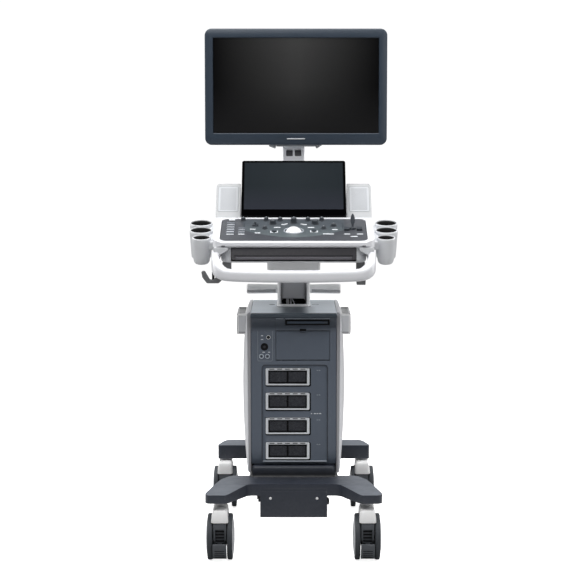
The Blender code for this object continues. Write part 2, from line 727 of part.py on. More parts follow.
def console_shell(looks):
    outline = console_outline()
    shell = put("console_shell", prism(outline, "X", -CONSOLE_HALF, CONSOLE_HALF), looks["light_shell"])
    combine(shell, "INTERSECT", [prism(console_plan(), "Z", 0.80, 1.0)])
    hollow = [(y, z if z > 0.85 else 0.80) for y, z in inset(outline, WALL)]
    cut(shell, prism(hollow, "X", -CONSOLE_HALF + WALL, CONSOLE_HALF - WALL))
    join(shell, speaker_wing(-1), speaker_wing(1))
    seat = box((-DECK_HALF, DECK_NEAR, -0.012), (DECK_HALF, DECK_FAR, 0.020), 0.014, 3, lies_along_z)
    cut(shell, seat, frame=deck_frame())
    ears = []
    for sign in (-1, 1):
        low, high = sorted((sign * 0.0665, sign * 0.0780))
        ears.append(box((low, -0.0800, 0.891), (high, -0.0660, 0.9012)))
    return join(shell, *ears)


def lies_along_z(edge):
    a, b = edge.verts
    return abs(a.co.z - b.co.z) > 0.9 * (a.co - b.co).length


def console_lower_shell(looks):
    """The tub that holds the keyboard drawer, with the turntable disc under it."""
    low, high = (-0.1950, -0.2900, TUB_UNDER), (0.1950, 0.1850, CONSOLE_UNDER - GAP)
    tub = put("console_lower_shell", box(low, high, 0.009, 3, lambda e: max(v.co.z for v in e.verts) < 0.81),
              looks["light_shell"])
    drawer_space = box((-0.1675, -0.3000, 0.8050), (0.1675, -0.0850, 0.8500))
    rear_space = box((-0.1900, -0.0800, 0.8060), (0.1900, 0.1800, 0.8500))
    cut(tub, drawer_space, rear_space)
    return join(tub, rod(0.055, "Z", HEAD_TOP + GAP, TUB_UNDER + 0.002, (0.0, SWIVEL_Y, 0.0), 28))


def handle_stations():
    """Middle, side vector, half width and half height along the ring, from the left end to the middle."""
    left = [
        ((-0.2062, -0.175, 0.8230), 0.0095, 0.0170), ((-0.2062, -0.240, 0.8230), 0.0095, 0.0175),
        ((-0.2080, -0.286, 0.8170), 0.0106, 0.0185), ((-0.2075, -0.311, 0.8035), 0.0112, 0.0185),
        ((-0.2010, -0.3355, 0.7880), 0.0140, 0.0175), ((-0.1850, -0.3515, 0.7770), 0.0165, 0.0165),
        ((-0.1600, -0.3590, 0.7738), 0.0180, 0.0160), ((-0.1100, -0.3625, 0.7724), 0.0180, 0.0160),
        ((-0.0500, -0.3650, 0.7716), 0.0180, 0.0160),
    ]
    right = [((-p[0], p[1], p[2]), w, h) for p, w, h in reversed(left)]
    return left + right


def front_handle(looks):
    """A ring handle: a rounded bar round the front from the console's sides, with a shoulder at each end."""
    stations = handle_stations()
    rings = []
    for i, (middle, half_width, half_height) in enumerate(stations):
        before = Vector(stations[max(0, i - 1)][0])
        after = Vector(stations[min(len(stations) - 1, i + 1)][0])
        ahead = after - before
        side = Vector((ahead.y, -ahead.x, 0.0)).normalized()
        up = side.cross(ahead).normalized()
        up = up if up.z > 0 else -up
        ring = []
        for k in range(12):
            turn = 2 * math.pi * (k + 0.5) / 12
            flat = math.copysign(abs(math.cos(turn)) ** 0.6, math.cos(turn)) * half_width
            tall = math.copysign(abs(math.sin(turn)) ** 0.6, math.sin(turn)) * half_height
            ring.append(Vector(middle) + side * flat + up * tall)
        rings.append(ring)
    handle = put("front_handle", loft(rings), looks["light_shell"])
    for sign in (-1, 1):
        shoulder = [(0.2140, 0.8420), (0.1730, 0.8420), (0.1760, 0.8340), (0.2010, 0.8190), (0.2140, 0.8150)]
        points = [(sign * x, z) for x, z in shoulder]
        join(handle, prism(fillet(points if sign < 0 else points[::-1], 0.003, 1), "Y", -0.3025, -0.2905))
    return handle


def control_panel(looks):
    edge = GAP + 0.0003
    plate = box((-DECK_HALF + edge, DECK_NEAR + edge, -0.0035), (DECK_HALF - edge, DECK_FAR - edge, 0.0008),
                0.0135, 3, lies_along_z)
    panel = put("control_panel", plate, looks["deck"], frame=deck_frame())
    holes = [rod(BALL_R - 0.0012, "Z", -0.02, 0.02, (*BALL_PLACE, 0.0), 24)]
    holes += [rod(0.0034, "Z", -0.02, 0.02, (x, u, 0.0), 8) for _, x, u, _, _ in KNOBS]
    holes += [key_block(place, GAP, -0.02, 0.02) for place in KEYS.values()]
    holes.append(rod(0.0095, "Z", -0.02, 0.02, (*JOYSTICK, 0.0), 16))
    return cut(panel, *holes, frame=deck_frame())


def key_block(place, grow, low, high):
    x, u, half_width, half_length, _ = place
    corner = (x - half_width - grow, u - half_length - grow, low)
    opposite = (x + half_width + grow, u + half_length + grow, high)
    return box(corner, opposite, 0.002, 1, lies_along_z)


def deck_point(x, u, height=0.0):
    return deck_frame() @ Vector((x, u, height))


def controls(looks):
    frame = deck_frame()
    surface = 0.0008
    for name, x, u, radius, height in KNOBS:
        foot = surface + GAP
        profile = [(0.0, -0.008), (0.0029, -0.008), (0.0029, foot), (radius, foot),
                   (radius, foot + 0.6 * height), (radius - 0.0012, foot + height - 0.001),
                   (radius - 0.0025, foot + height), (0.0, foot + height)]
        put(name, turned(profile, "Z", (x, u, 0.0), 16), looks["knob"], deck_point(x, u), frame)
    for name, place in KEYS.items():
        look = looks["white"] if name == "power_button" else looks["knob"]
        key = key_block(place, 0.0, -0.006, surface + place[4])
        put(name, key, look, deck_point(place[0], place[1]), frame)
    ball = [(BALL_R * math.sin(math.pi * k / 10), -BALL_R * math.cos(math.pi * k / 10)) for k in range(11)]
    centre = deck_point(*BALL_PLACE, -BALL_SINK)
    put("trackball", turned(ball, "Z", (*BALL_PLACE, -BALL_SINK), 18), looks["white"], centre, frame)


def joystick(looks):
    """An upright leaf-shaped paddle on a round stub."""
    x, u = JOYSTICK
    pivot = deck_point(x, u)
    foot = Vector(pivot)
    outline = [(0.0030, 0.0), (0.0035, 0.010), (0.0062, 0.020), (0.0050, 0.031), (0.0018, 0.040)]
    outline = outline + [(-a, b) for a, b in reversed(outline)]
    placed = [(foot.x + a, foot.z + b + 0.002) for a, b in outline]
    leaf = prism(placed, "Y", foot.y - LEAF_HALF, foot.y + LEAF_HALF, 0.0008, 1)
    stick = put("joystick", leaf, looks["knob"], pivot)
    stub = [(0.0, -0.005), (0.0075, -0.003), (0.0078, 0.001), (0.0045, 0.0045), (0.0, 0.0055)]
    return join(stick, turned(stub, "Z", foot, 14))


def keyboard_tray(looks):
    """The drawer: a dark tray with a tall front and a pull lip along its lower edge."""
    block = box((-DRAWER_HALF, -0.2945, 0.8088), (DRAWER_HALF, -0.0950, 0.8410), 0.0015, 1)
    tray = put("keyboard_tray", block, looks["drawer"])
    cut(tray, box((-0.1600, -0.2850, 0.8280), (0.1600, -0.1000, 0.8500)))
    lip = box((-0.1550, -0.3000, 0.8092), (0.1550, -0.2935, 0.8175), 0.002, 2)
    return join(tray, lip)


def touch_frame():
    """Coordinates of the touch panel: X across, Y up its face, Z out of its face."""
    return Matrix.Translation(TOUCH_FOOT) @ Matrix.Rotation(math.pi / 2 - TOUCH_LEAN, 4, "X")


def touch_screen(looks):
    plate = box((-TOUCH_HALF, 0.0, -TOUCH_THICK), (TOUCH_HALF, TOUCH_TALL, 0.0), 0.004, 2)
    screen = put("touch_screen", plate, looks["glass"], TOUCH_PIVOT, touch_frame())
    back = box((-0.110, 0.030, -0.026), (0.110, 0.150, -0.010), 0.006, 2)
    join(screen, back, frame=touch_frame())
    barrel = rod(0.0062, "X", -0.0660, 0.0660, TOUCH_PIVOT, 16)
    return join(screen, barrel)


def cup_frame(sign):
    place = Vector((sign * CUP_BANK.x, CUP_BANK.y, CUP_BANK.z))
    return Matrix.Translation(place) @ Matrix.Rotation(CUP_TILT, 4, "X")


def cup_holder(name, sign, looks):
    """Three tapered cups on a rail, all leaning forward."""
    frame = cup_frame(sign)
    inner_x = CONSOLE_HALF + 0.0006 - CUP_BANK.x
    low, high = sorted((sign * inner_x, sign * (inner_x + 0.014)))
    rail = box((low, -0.085, -0.034), (high, 0.077, -0.008), 0.003, 1)
    holder = put(name, rail, looks["light_shell"], frame=frame)
    for out, back, radius, depth in CUPS:
        centre = (sign * out, back, 0.0)
        cup = [(0.0, -depth), (radius * 0.62, -depth), (radius * 0.86, -depth + 0.007)]
        cup += [(radius * 0.97, -0.020), (radius, -0.004), (radius - 0.0015, 0.0), (0.0, 0.0)]
        join(holder, turned(cup, "Z", centre, 14), frame=frame)
    for out, back, radius, depth in CUPS:
        bore = radius - CUP_WALL
        floor = -depth + 0.010
        hole = [(0.0, floor), (bore * 0.84, floor), (bore, -0.020), (bore, 0.010), (0.0, 0.010)]
        cut(holder, turned(hole, "Z", (sign * out, back, 0.0), 14), frame=frame)
    return holder


def hook_outline():
    """A cable hook seen from the side: pivot block, arm and upturned leaf, as (distance out, height)."""
    return [
        (-0.012, 0.0), (0.012, 0.0), (0.012, -0.020), (0.036, -0.0485), (0.046, -0.0485), (0.060, -0.025),
        (0.069, -0.0250), (0.066, -0.041), (0.054, -0.0575), (0.022, -0.0575), (-0.012, -0.024),
    ]


def cable_hook(name, sign, turn, looks):
    """A hook under the console that swivels about an upright pin. turn is its rest direction."""
    x, y = sign * HOOK_PIVOT[0], HOOK_PIVOT[1]
    top = TUB_UNDER - GAP
    frame = Matrix.Translation((x, y, top)) @ Matrix.Rotation(turn, 4, "Z")
    outline = fillet(hook_outline(), 0.004, 2)
    return put(name, prism(outline, "Y", -0.0120, 0.0120, 0.002, 1), looks["grey_hook"], (x, y, top), frame)


# ---------------------------------------------------------------- monitor and its arm


def capsule(a, b, radius, steps=8):
    """The outline around two round ends, as (Y, Z) points."""
    a, b = Vector(a), Vector(b)
    turn = math.atan2(b.y - a.y, b.x - a.x)
    points = []
    for centre, start in ((a, turn + math.pi / 2), (b, turn - math.pi / 2)):
        for k in range(steps + 1):
            angle = start + math.pi * k / steps
            points.append((centre.x + radius * math.cos(angle), centre.y + radius * math.sin(angle)))
    return points


def arm_lower(looks):
    """A turntable and post, with a tongue for the link's lower pin."""
    disc = rod(0.030, "Z", 0.9255, 0.9400, (0.0, ARM_Y, 0.0), 20, 0.002)
    base = put("arm_lower", disc, looks["light_shell"], (0.0, ARM_Y, 0.930))
    post = rod(0.0140, "Z", 0.9380, 0.9850, (0.0, ARM_Y, 0.0), 16)
    tongue = rod(0.0175, "X", -TONGUE_HALF, TONGUE_HALF, (0.0, *ELBOW), 18)
    join(base, post, tongue)
    return cut(base, rod(0.0056, "X", -0.05, 0.05, (0.0, *ELBOW), 16))


def arm_upper(looks):
    """The lift link: a wide beam whose forked ends hold the pins, with two windows through it."""
    beam = put("arm_upper", prism(capsule(ELBOW, WRIST, 0.018), "X", -LINK_HALF, LINK_HALF, 0.002, 1),
               looks["light_shell"], (0.0, *ELBOW))
    room = TONGUE_HALF + 0.0008
    forks = [box((-room, y - 0.026, z - 0.026), (room, y + 0.026, z + 0.026)) for y, z in (ELBOW, WRIST)]
    angle = math.atan2(WRIST[1] - ELBOW[1], WRIST[0] - ELBOW[0])
    middle = Matrix.Translation((0.0, (ELBOW[0] + WRIST[0]) / 2, (ELBOW[1] + WRIST[1]) / 2))
    middle = middle @ Matrix.Rotation(angle, 4, "X")
    cut(beam, *forks)
    windows = [box((x - 0.010, -0.012, -0.03), (x + 0.010, 0.030, 0.03)) for x in (-0.0145, 0.0145)]
    cut(beam, *windows, frame=middle)
    reach = LINK_HALF - 0.002
    pins = [rod(0.0050, "X", -reach, reach, (0.0, y, z), 16) for y, z in (ELBOW, WRIST)]
    return join(beam, *pins)


def monitor_bracket(looks):
    """The piece that stays level: a tongue on the wrist pin and a platform for the pan joint."""
    tongue = rod(0.0175, "X", -TONGUE_HALF, TONGUE_HALF, (0.0, *WRIST), 18)
    bracket = put("monitor_bracket", tongue, looks["light_shell"], (0.0, *WRIST))
    front, back = PAN_Y - 0.018, WRIST[0] + 0.0174
    side = [(front, 1.2140), (front, 1.1960), (WRIST[0] - 0.014, 1.1760), (back, 1.1680), (back, 1.1960),
            (WRIST[0] + 0.0060, 1.2140)]
    join(bracket, prism(side, "X", -TONGUE_HALF, TONGUE_HALF))
    return cut(bracket, rod(0.0056, "X", -0.05, 0.05, (0.0, *WRIST), 16))


def monitor_hinge(looks):
    """Pans on the bracket and carries the tilt barrel."""
    hinge = put("monitor_hinge", rod(0.0175, "Z", 1.2145, 1.2290, (0.0, PAN_Y, 0.0), 18, 0.001),
                looks["silver"], (0.0, PAN_Y, 1.2145))
    neck = box((-0.0110, 0.1740, 1.2270), (0.0110, 0.2120, 1.2620), 0.002, 1)
    barrel = rod(0.0110, "X", -0.0280, 0.0280, (0.0, *TILT), 20)
    return join(hinge, neck, barrel)


def monitor_housing(looks):
    x, z0, z1 = MONITOR_X, MONITOR_BOTTOM, MONITOR_TOP
    left, right = x - MONITOR_HALF, x + MONITOR_HALF
    face = fillet([(left, z0), (right, z0), (right, z1), (left, z1)], 0.016, 3)
    shell = put("monitor_housing", prism(face, "Y", MONITOR_FRONT, MONITOR_BACK, 0.003, 1), looks["bezel"],
                (0.0, *TILT))
    back = box((x - 0.190, MONITOR_BACK - 0.004, 1.185), (x + 0.190, 0.1500, 1.400), 0.010, 2)
    join(shell, back)
    cut(shell, box((x - SCREEN_HALF - GAP, 0.10, SCREEN_BOTTOM - GAP),
                   (x + SCREEN_HALF + GAP, MONITOR_FRONT + 0.0050, SCREEN_TOP + GAP)))
    lugs = []
    for sign in (-1, 1):
        low, high = sorted((sign * 0.0287, sign * 0.0400))
        lugs.append(box((low, 0.1480, TILT[1] - 0.014), (high, 0.1930, TILT[1] + 0.014), 0.003, 1))
        low, high = sorted((x + sign * 0.055, x + sign * 0.078))
        lugs.append(box((low, MONITOR_BACK - 0.002, 1.0940), (high, 0.1420, 1.1900), 0.002, 1))
    return join(shell, *lugs)


def monitor_screen(looks):
    x = MONITOR_X
    low = (x - SCREEN_HALF, MONITOR_FRONT + 0.0008, SCREEN_BOTTOM)
    high = (x + SCREEN_HALF, MONITOR_FRONT + 0.0045, SCREEN_TOP)
    return put("monitor_screen", box(low, high), looks["glass"], (0.0, *TILT))


# ---------------------------------------------------------------- assembly


def clear_scene():
    for obj in list(bpy.data.objects):
        bpy.data.objects.remove(obj)


def base_and_cabinet(looks):
    base_cover(looks)
    base_frame(looks)
    power_module(looks)
    body_chassis(looks)
    front_cover(looks)
    top_cover(looks)
    side_cover("side_cover_left", -1, looks)
    side_cover("side_cover_right", 1, looks)
    rear_cover(looks)
    port_panel(looks)
    probe_ports(looks)
    electronics_unit(looks)
    drive_unit(looks)
    drive_tray(looks)
    bay_door(looks)
    side_tray("side_tray_left", -1, looks)
    side_tray("side_tray_right", 1, looks)
    fan_rotor(looks)


def console(looks):
    console_shell(looks)
    console_lower_shell(looks)
    front_handle(looks)
    control_panel(looks)
    controls(looks)
    joystick(looks)
    keyboard_tray(looks)
    touch_screen(looks)
    cup_holder("cup_holder_left", -1, looks)
    cup_holder("cup_holder_right", 1, looks)
    cable_hook("cable_hook_left", -1, math.pi, looks)
    cable_hook("cable_hook_right", 1, -math.pi / 2, looks)


def monitor(looks):
    arm_lower(looks)
    arm_upper(looks)
    monitor_bracket(looks)
    monitor_hinge(looks)
    monitor_housing(looks)
    monitor_screen(looks)


def main():
    clear_scene()
    bpy.context.scene.unit_settings.system = "METRIC"
    looks = finishes()
    casters(looks)
    base_and_cabinet(looks)
    column_shroud(looks)
    rear_handle(looks)
    lift(looks)
    console(looks)
    monitor(looks)


main()
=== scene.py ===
"""The looks of the mobile ultrasound machine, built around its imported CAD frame.

Metres, +Z up, the front faces -Y. Plain functions make meshes, one function for each sub-part
makes its visible pieces, and each piece rides on the CAD body that carries it.
"""

import json
import math

import bmesh
import bpy
from mathutils import Matrix, Vector


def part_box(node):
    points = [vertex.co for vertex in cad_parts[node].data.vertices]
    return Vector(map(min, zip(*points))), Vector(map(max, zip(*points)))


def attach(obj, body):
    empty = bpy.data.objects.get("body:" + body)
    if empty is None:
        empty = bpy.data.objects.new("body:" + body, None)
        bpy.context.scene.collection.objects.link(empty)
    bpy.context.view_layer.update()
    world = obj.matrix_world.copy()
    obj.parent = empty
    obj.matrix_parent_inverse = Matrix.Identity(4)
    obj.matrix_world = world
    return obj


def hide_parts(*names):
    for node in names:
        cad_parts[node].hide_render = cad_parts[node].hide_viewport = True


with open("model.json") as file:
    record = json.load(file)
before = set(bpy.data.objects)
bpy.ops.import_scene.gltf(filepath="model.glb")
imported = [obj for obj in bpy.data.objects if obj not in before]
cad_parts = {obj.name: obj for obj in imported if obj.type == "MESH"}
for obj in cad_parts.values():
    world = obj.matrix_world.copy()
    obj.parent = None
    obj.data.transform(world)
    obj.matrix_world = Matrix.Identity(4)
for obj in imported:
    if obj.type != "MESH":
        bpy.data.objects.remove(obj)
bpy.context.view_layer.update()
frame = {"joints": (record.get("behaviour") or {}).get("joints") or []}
JOINTS = {joint["name"]: joint for joint in frame["joints"]}

X_AXIS, Y_AXIS, Z_AXIS = Vector((1, 0, 0)), Vector((0, 1, 0)), Vector((0, 0, 1))
SIDES = (("left", -1), ("right", 1))


# ---------------------------------------------------------------- meshes


def across(axis, pair, along):
    """A point from its two coordinates across an axis, in X, Y, Z order, and its place along it."""
    point = list(pair)
    point.insert("XYZ".index(axis), along)
    return Vector(point)


def basis(origin, u, v, w):
    """The matrix that puts drawing coordinates (u, v, w) at this origin, along these directions."""
    made = Matrix.Identity(4)
    for k, column in enumerate((u, v, w, origin)):
        for row in range(3):
            made[row][k] = column[row]
    return made


def front_plane(y):
    """Drawing plane of X and Z at this depth; its third coordinate comes towards the front."""
    return basis((0, y, 0), X_AXIS, Z_AXIS, -Y_AXIS)


def rounded(points, radius, steps=6):
    """The outline with each corner turned into an arc. radius is one number, or one for each corner."""
    count = len(points)
    radii = radius if isinstance(radius, (list, tuple)) else [radius] * count
    outline = []
    for i, corner in enumerate(points):
        here = Vector(corner)
        back = Vector(points[i - 1]) - here
        ahead = Vector(points[(i + 1) % count]) - here
        half = back.angle(ahead) / 2
        reach = min(radii[i] / math.tan(half), 0.48 * back.length, 0.48 * ahead.length)
        if reach < 1e-5 or half > math.radians(88):
            outline.append(tuple(here))
            continue
        first, last = here + back.normalized() * reach, here + ahead.normalized() * reach
        centre = here + (back.normalized() + ahead.normalized()).normalized() * reach / math.cos(half)
        length = (first - centre).length
        for k in range(steps + 1):
            spoke = (first - centre).slerp(last - centre, k / steps).normalized()
            outline.append(tuple(centre + spoke * length))
    return outline


def rect(x0, x1, y0, y1, radius=0.0, steps=6):
    """A rounded rectangle, anticlockwise, always with the same number of points for the same steps."""
    radius = max(radius, 1e-5)
    points = []
    for x, y, start in ((x1, y1, 0), (x0, y1, 90), (x0, y0, 180), (x1, y0, 270)):
        centre = (x - math.copysign(radius, x - x0 - 1e-9), y - math.copysign(radius, y - y0 - 1e-9))
        for k in range(steps + 1):
            turn = math.radians(start + 90 * k / steps)
            points.append((centre[0] + radius * math.cos(turn), centre[1] + radius * math.sin(turn)))
    return points


def smooth(points, steps=6):
    """A Catmull-Rom curve through the points, in any number of dimensions."""
    knots = [Vector(p) for p in points]
    knots = [knots[0] * 2 - knots[1]] + knots + [knots[-1] * 2 - knots[-2]]
    path = []
    for a, b, c, d in zip(knots, knots[1:], knots[2:], knots[3:]):
        for k in range(steps):
            t = k / steps
            path.append((b * 2 + (c - a) * t + (a * 2 - b * 5 + c * 4 - d) * t * t
                         + (b * 3 - a - c * 3 + d) * t ** 3) / 2)
    return path + [knots[-2]]


def box(low, high):
    bm = bmesh.new()
    bmesh.ops.create_cube(bm, size=1.0)
    bmesh.ops.scale(bm, vec=[b - a for a, b in zip(low, high)], verts=bm.verts)
    bmesh.ops.translate(bm, vec=[(a + b) / 2 for a, b in zip(low, high)], verts=bm.verts)
    return bm


def prism(outline, axis, low, high):
    return loft([[across(axis, p, low) for p in outline], [across(axis, p, high) for p in outline]])


def loft(rings, closed=False):
    """A surface through rings of equal length. Its ends have a face each, unless the last ring joins the first."""
    bm = bmesh.new()
    rows = [[bm.verts.new(p) for p in ring] for ring in rings]
    count = len(rows[0])
    pairs = list(zip(rows, rows[1:])) + ([(rows[-1], rows[0])] if closed else [])
    for a, b in pairs:
        for k in range(count):
            bm.faces.new([a[k], a[(k + 1) % count], b[(k + 1) % count], b[k]])
    if not closed:
        bm.faces.new(rows[0])
        bm.faces.new(list(reversed(rows[-1])))
    bmesh.ops.recalc_face_normals(bm, faces=bm.faces)
    return bm


def turned(profile, axis="Z", centre=(0.0, 0.0, 0.0), steps=48, ring=False, wave=None):
    """A turned solid from (radius, height) points. wave(turn, radius, height) may change the radius."""
    bm = bmesh.new()
    rows = []
    for radius, height in profile:
        count = 1 if radius < 1e-6 else steps
        row = []
        for k in range(count):
            turn = 2 * math.pi * k / steps
            reach = wave(turn, radius, height) if wave else radius
            pair = (reach * math.cos(turn), reach * math.sin(turn))
            row.append(bm.verts.new(across(axis, pair, height) + Vector(centre)))
        rows.append(row)
    for a, b in list(zip(rows, rows[1:])) + ([(rows[-1], rows[0])] if ring else []):
        for k in range(steps):
            corners = [a[k % len(a)], a[(k + 1) % len(a)], b[(k + 1) % len(b)], b[k % len(b)]]
            unique = list(dict.fromkeys(corners))
            if len(unique) > 2:
                bm.faces.new(unique)
    bmesh.ops.recalc_face_normals(bm, faces=bm.faces)
    return bm


def rod(radius, axis, low, high, centre=(0.0, 0.0, 0.0), edge=0.0006, steps=40):
    """A round bar with rounded rims."""
    profile = [(0.0, low), (radius - edge, low), (radius - 0.3 * edge, low + 0.3 * edge), (radius, low + edge)]
    profile += [(r, low + high - h) for r, h in reversed(profile)]
    return turned(profile, axis, centre, steps)


def tube(path, radius, sides=12):
    """A round cable or rail along a path of points."""
    rings = []
    for i, point in enumerate(path):
        ahead = (path[min(i + 1, len(path) - 1)] - path[max(i - 1, 0)]).normalized()
        guide = X_AXIS if abs(ahead.x) < 0.9 else Z_AXIS
        side = ahead.cross(guide).normalized()
        up = side.cross(ahead)
        turns = [2 * math.pi * k / sides for k in range(sides)]
        rings.append([point + (side * math.cos(t) + up * math.sin(t)) * radius for t in turns])
    return loft(rings)


def pillow(outline, low, high, edge, steps=4):
    """A plate drawn in (u, v) from height low to high whose upper rim is rounded by edge."""
    rings = [[(u, v, low) for u, v in outline]]
    for k in range(steps + 1):
        turn = math.pi / 2 * k / steps
        shrunk = inset(outline, edge * (1 - math.cos(turn)))
        rings.append([(u, v, high - edge + edge * math.sin(turn)) for u, v in shrunk])
    return loft(rings)


def inset(points, distance):
    """The outline moved inwards. The points run anticlockwise."""
    if abs(distance) < 1e-9:
        return list(points)
    moved = []
    count = len(points)
    for i in range(count):
        here = Vector(points[i])
        before = (here - Vector(points[i - 1])).normalized()
        after = (Vector(points[(i + 1) % count]) - here).normalized()
        side = Vector((-before.y, before.x)) + Vector((-after.y, after.x))
        scale = distance / max(0.3, side.normalized().dot(Vector((-before.y, before.x))))
        moved.append(tuple(here + side.normalized() * scale))
    return moved


def merge(*meshes):
    """One mesh that holds all of these."""
    whole = meshes[0]
    for part in meshes[1:]:
        carrier = bpy.data.meshes.new("carrier")
        part.to_mesh(carrier)
        part.free()
        whole.from_mesh(carrier)
        bpy.data.meshes.remove(carrier)
    return whole


def moved(bm, matrix):
    bmesh.ops.transform(bm, matrix=matrix, verts=bm.verts)
    return bm


def helper(bm):
    bmesh.ops.recalc_face_normals(bm, faces=bm.faces)
    mesh = bpy.data.meshes.new("helper")
    bm.to_mesh(mesh)
    bm.free()
    made = bpy.data.objects.new("helper", mesh)
    bpy.context.scene.collection.objects.link(made)
    return made


def boolean(bm, operation, tools):
    """The mesh after one exact Boolean for each tool."""
    base = helper(bm)
    for tool in tools:
        other = helper(tool)
        modifier = base.modifiers.new("boolean", "BOOLEAN")
        modifier.operation = operation
        modifier.object = other
        bpy.context.view_layer.update()
        made = bpy.data.meshes.new_from_object(base.evaluated_get(bpy.context.evaluated_depsgraph_get()))
        base.modifiers.clear()
        base.data = made
        bpy.data.objects.remove(other)
    result = bmesh.new()
    result.from_mesh(base.data)
    bpy.data.objects.remove(base)
    return result


def cut(bm, *tools):
    return boolean(bm, "DIFFERENCE", tools)


def slices(bm, axis, places):
    for place in places:
        every = list(bm.verts) + list(bm.edges) + list(bm.faces)
        bmesh.ops.bisect_plane(bm, geom=every, plane_co=across(axis, (0, 0), place),
                               plane_no=across(axis, (0, 0), 1.0))
    return bm


def soften(bm, width, segments=3, least=0.5, where=None):
    """Rounds the edges that turn by more than least radians, and that where() accepts."""
    edges = [e for e in bm.edges
             if len(e.link_faces) == 2 and e.calc_face_angle(0.0) > least and (where is None or where(e))]
    bmesh.ops.bevel(bm, geom=edges, offset=width, segments=segments, profile=0.5, affect="EDGES",
                    clamp_overlap=True)
    return bm


def piece(name, bm, look, body, stands_for=(), bevel=0.0, place=None, segments=3, sharp=35):
    """Adds a visible piece. bevel rounds its edges by that width."""
    if place is not None:
        bmesh.ops.transform(bm, matrix=place, verts=bm.verts)
    bmesh.ops.recalc_face_normals(bm, faces=bm.faces)
    mesh = bpy.data.meshes.new(name)
    bm.to_mesh(mesh)
    bm.free()
    mesh.materials.append(look)
    mesh.shade_smooth()
    made = bpy.data.objects.new(name, mesh)
    bpy.context.scene.collection.objects.link(made)
    if bevel:
        modifier = made.modifiers.new("edges", "BEVEL")
        modifier.width = bevel
        modifier.segments = segments
        modifier.limit_method = "ANGLE"
        modifier.angle_limit = math.radians(30)
        modifier.harden_normals = True
        modifier.miter_outer = "MITER_ARC"
    else:
        mesh.set_sharp_from_angle(angle=math.radians(sharp))
    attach(made, body)
    if stands_for:
        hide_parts(*stands_for)
    return made


# ---------------------------------------------------------------- materials


def node(tree, kind, inputs=None, **settings):
    made = tree.nodes.new(kind)
    for key, value in settings.items():
        setattr(made, key, value)
    for key, value in (inputs or {}).items():
        if hasattr(value, "is_output"):
            tree.links.new(value, made.inputs[key])
        else:
            made.inputs[key].default_value = value
    return made


def noise(tree, scale, detail=3.0, stretch=None):
    """Noise in the piece's own metres. stretch squeezes it along each axis."""
    where = node(tree, "ShaderNodeTexCoord").outputs["Object"]
    if stretch:
        where = node(tree, "ShaderNodeMapping", {"Vector": where, "Scale": stretch}).outputs["Vector"]
    return node(tree, "ShaderNodeTexNoise", {"Vector": where, "Scale": scale, "Detail": detail}).outputs["Fac"]


def ranged(tree, value, low, high, start=0.3, end=0.7):
    """Maps value, from start to end, onto low to high."""
    inputs = {"Value": value, "From Min": start, "From Max": end, "To Min": low, "To Max": high}
    return node(tree, "ShaderNodeMapRange", inputs).outputs["Result"]


def mixed(tree, factor, a, b, blend="MIX"):
    made = node(tree, "ShaderNodeMix", data_type="RGBA", blend_type=blend)
    for socket, value in ((made.inputs[0], factor), (made.inputs[6], a), (made.inputs[7], b)):
        if hasattr(value, "is_output"):
            tree.links.new(value, socket)
        else:
            socket.default_value = value
    return made.outputs[2]


def rgba(colour, factor=1.0):
    return (*(min(1.0, c * factor) for c in colour), 1.0)


def from_srgb(red, green, blue):
    return tuple(((c / 255 + 0.055) / 1.055) ** 2.4 if c > 10 else c / 255 / 12.92 for c in (red, green, blue))


def blank(name):
    made = bpy.data.materials.new(name)
    made.use_nodes = True
    return made, made.node_tree, made.node_tree.nodes["Principled BSDF"]


def finish_surface(tree, shader, colour, roughness, grain, grain_size, worn, mottle, stretch=None):
    """Links clouded colour, uneven gloss, rubbed edges and a fine surface grain to the shader."""
    cloud = ranged(tree, noise(tree, 9.0, 4.0), 0.0, 1.0)
    tint = mixed(tree, cloud, rgba(colour, 1 - mottle), rgba(colour, 1 + mottle))
    convex = node(tree, "ShaderNodeNewGeometry").outputs["Pointiness"]
    rubbed = node(tree, "ShaderNodeMath", {0: ranged(tree, convex, 0.0, worn, 0.52, 0.60),
                                           1: ranged(tree, noise(tree, 160.0), 0.4, 1.0)}, operation="MULTIPLY")
    lifted = [c + (0.85 - c) * 0.5 for c in colour]
    tint = mixed(tree, rubbed.outputs[0], tint, rgba(lifted))
    tree.links.new(tint, shader.inputs["Base Color"])
    gloss = ranged(tree, noise(tree, 45.0, 5.0, stretch), roughness * 0.88, min(1.0, roughness * 1.14))
    tree.links.new(gloss, shader.inputs["Roughness"])
    fine = noise(tree, 1.0 / grain_size, 2.0, stretch)
    bump = node(tree, "ShaderNodeBump", {"Height": fine, "Strength": grain, "Distance": 0.3 * grain_size})
    tree.links.new(bump.outputs["Normal"], shader.inputs["Normal"])
    return tint


def plastic(name, colour, roughness, grain=0.25, grain_size=0.0007, worn=0.10, mottle=0.035, coat=0.0,
            shine=0.5):
    """Moulded plastic with a spark-eroded grain."""
    made, tree, shader = blank(name)
    finish_surface(tree, shader, colour, roughness, grain, grain_size, worn, mottle)
    shader.inputs["Specular IOR Level"].default_value = shine
    shader.inputs["Coat Weight"].default_value = coat
    shader.inputs["Coat Roughness"].default_value = 0.12
    return made


def shaded(name, colour, levels, heights):
    """Plastic whose brightness goes from one level to the other between two heights: painted shade, under the casing's
    overhang and low on the plinth where it meets the base.
    """
    made, tree, shader = blank(name)
    tint = finish_surface(tree, shader, colour, 0.42, 0.25, 0.0007, 0.08, 0.035)
    place = node(tree, "ShaderNodeSeparateXYZ", {0: node(tree, "ShaderNodeTexCoord").outputs["Object"]})
    # Painted shade: the colour is multiplied darker between the two heights.
    shade = ranged(tree, place.outputs["Z"], *levels, *heights)
    grey = node(tree, "ShaderNodeCombineColor", {0: shade, 1: shade, 2: shade}).outputs[0]
    tree.links.new(mixed(tree, 1.0, tint, grey, "MULTIPLY"), shader.inputs["Base Color"])
    return made


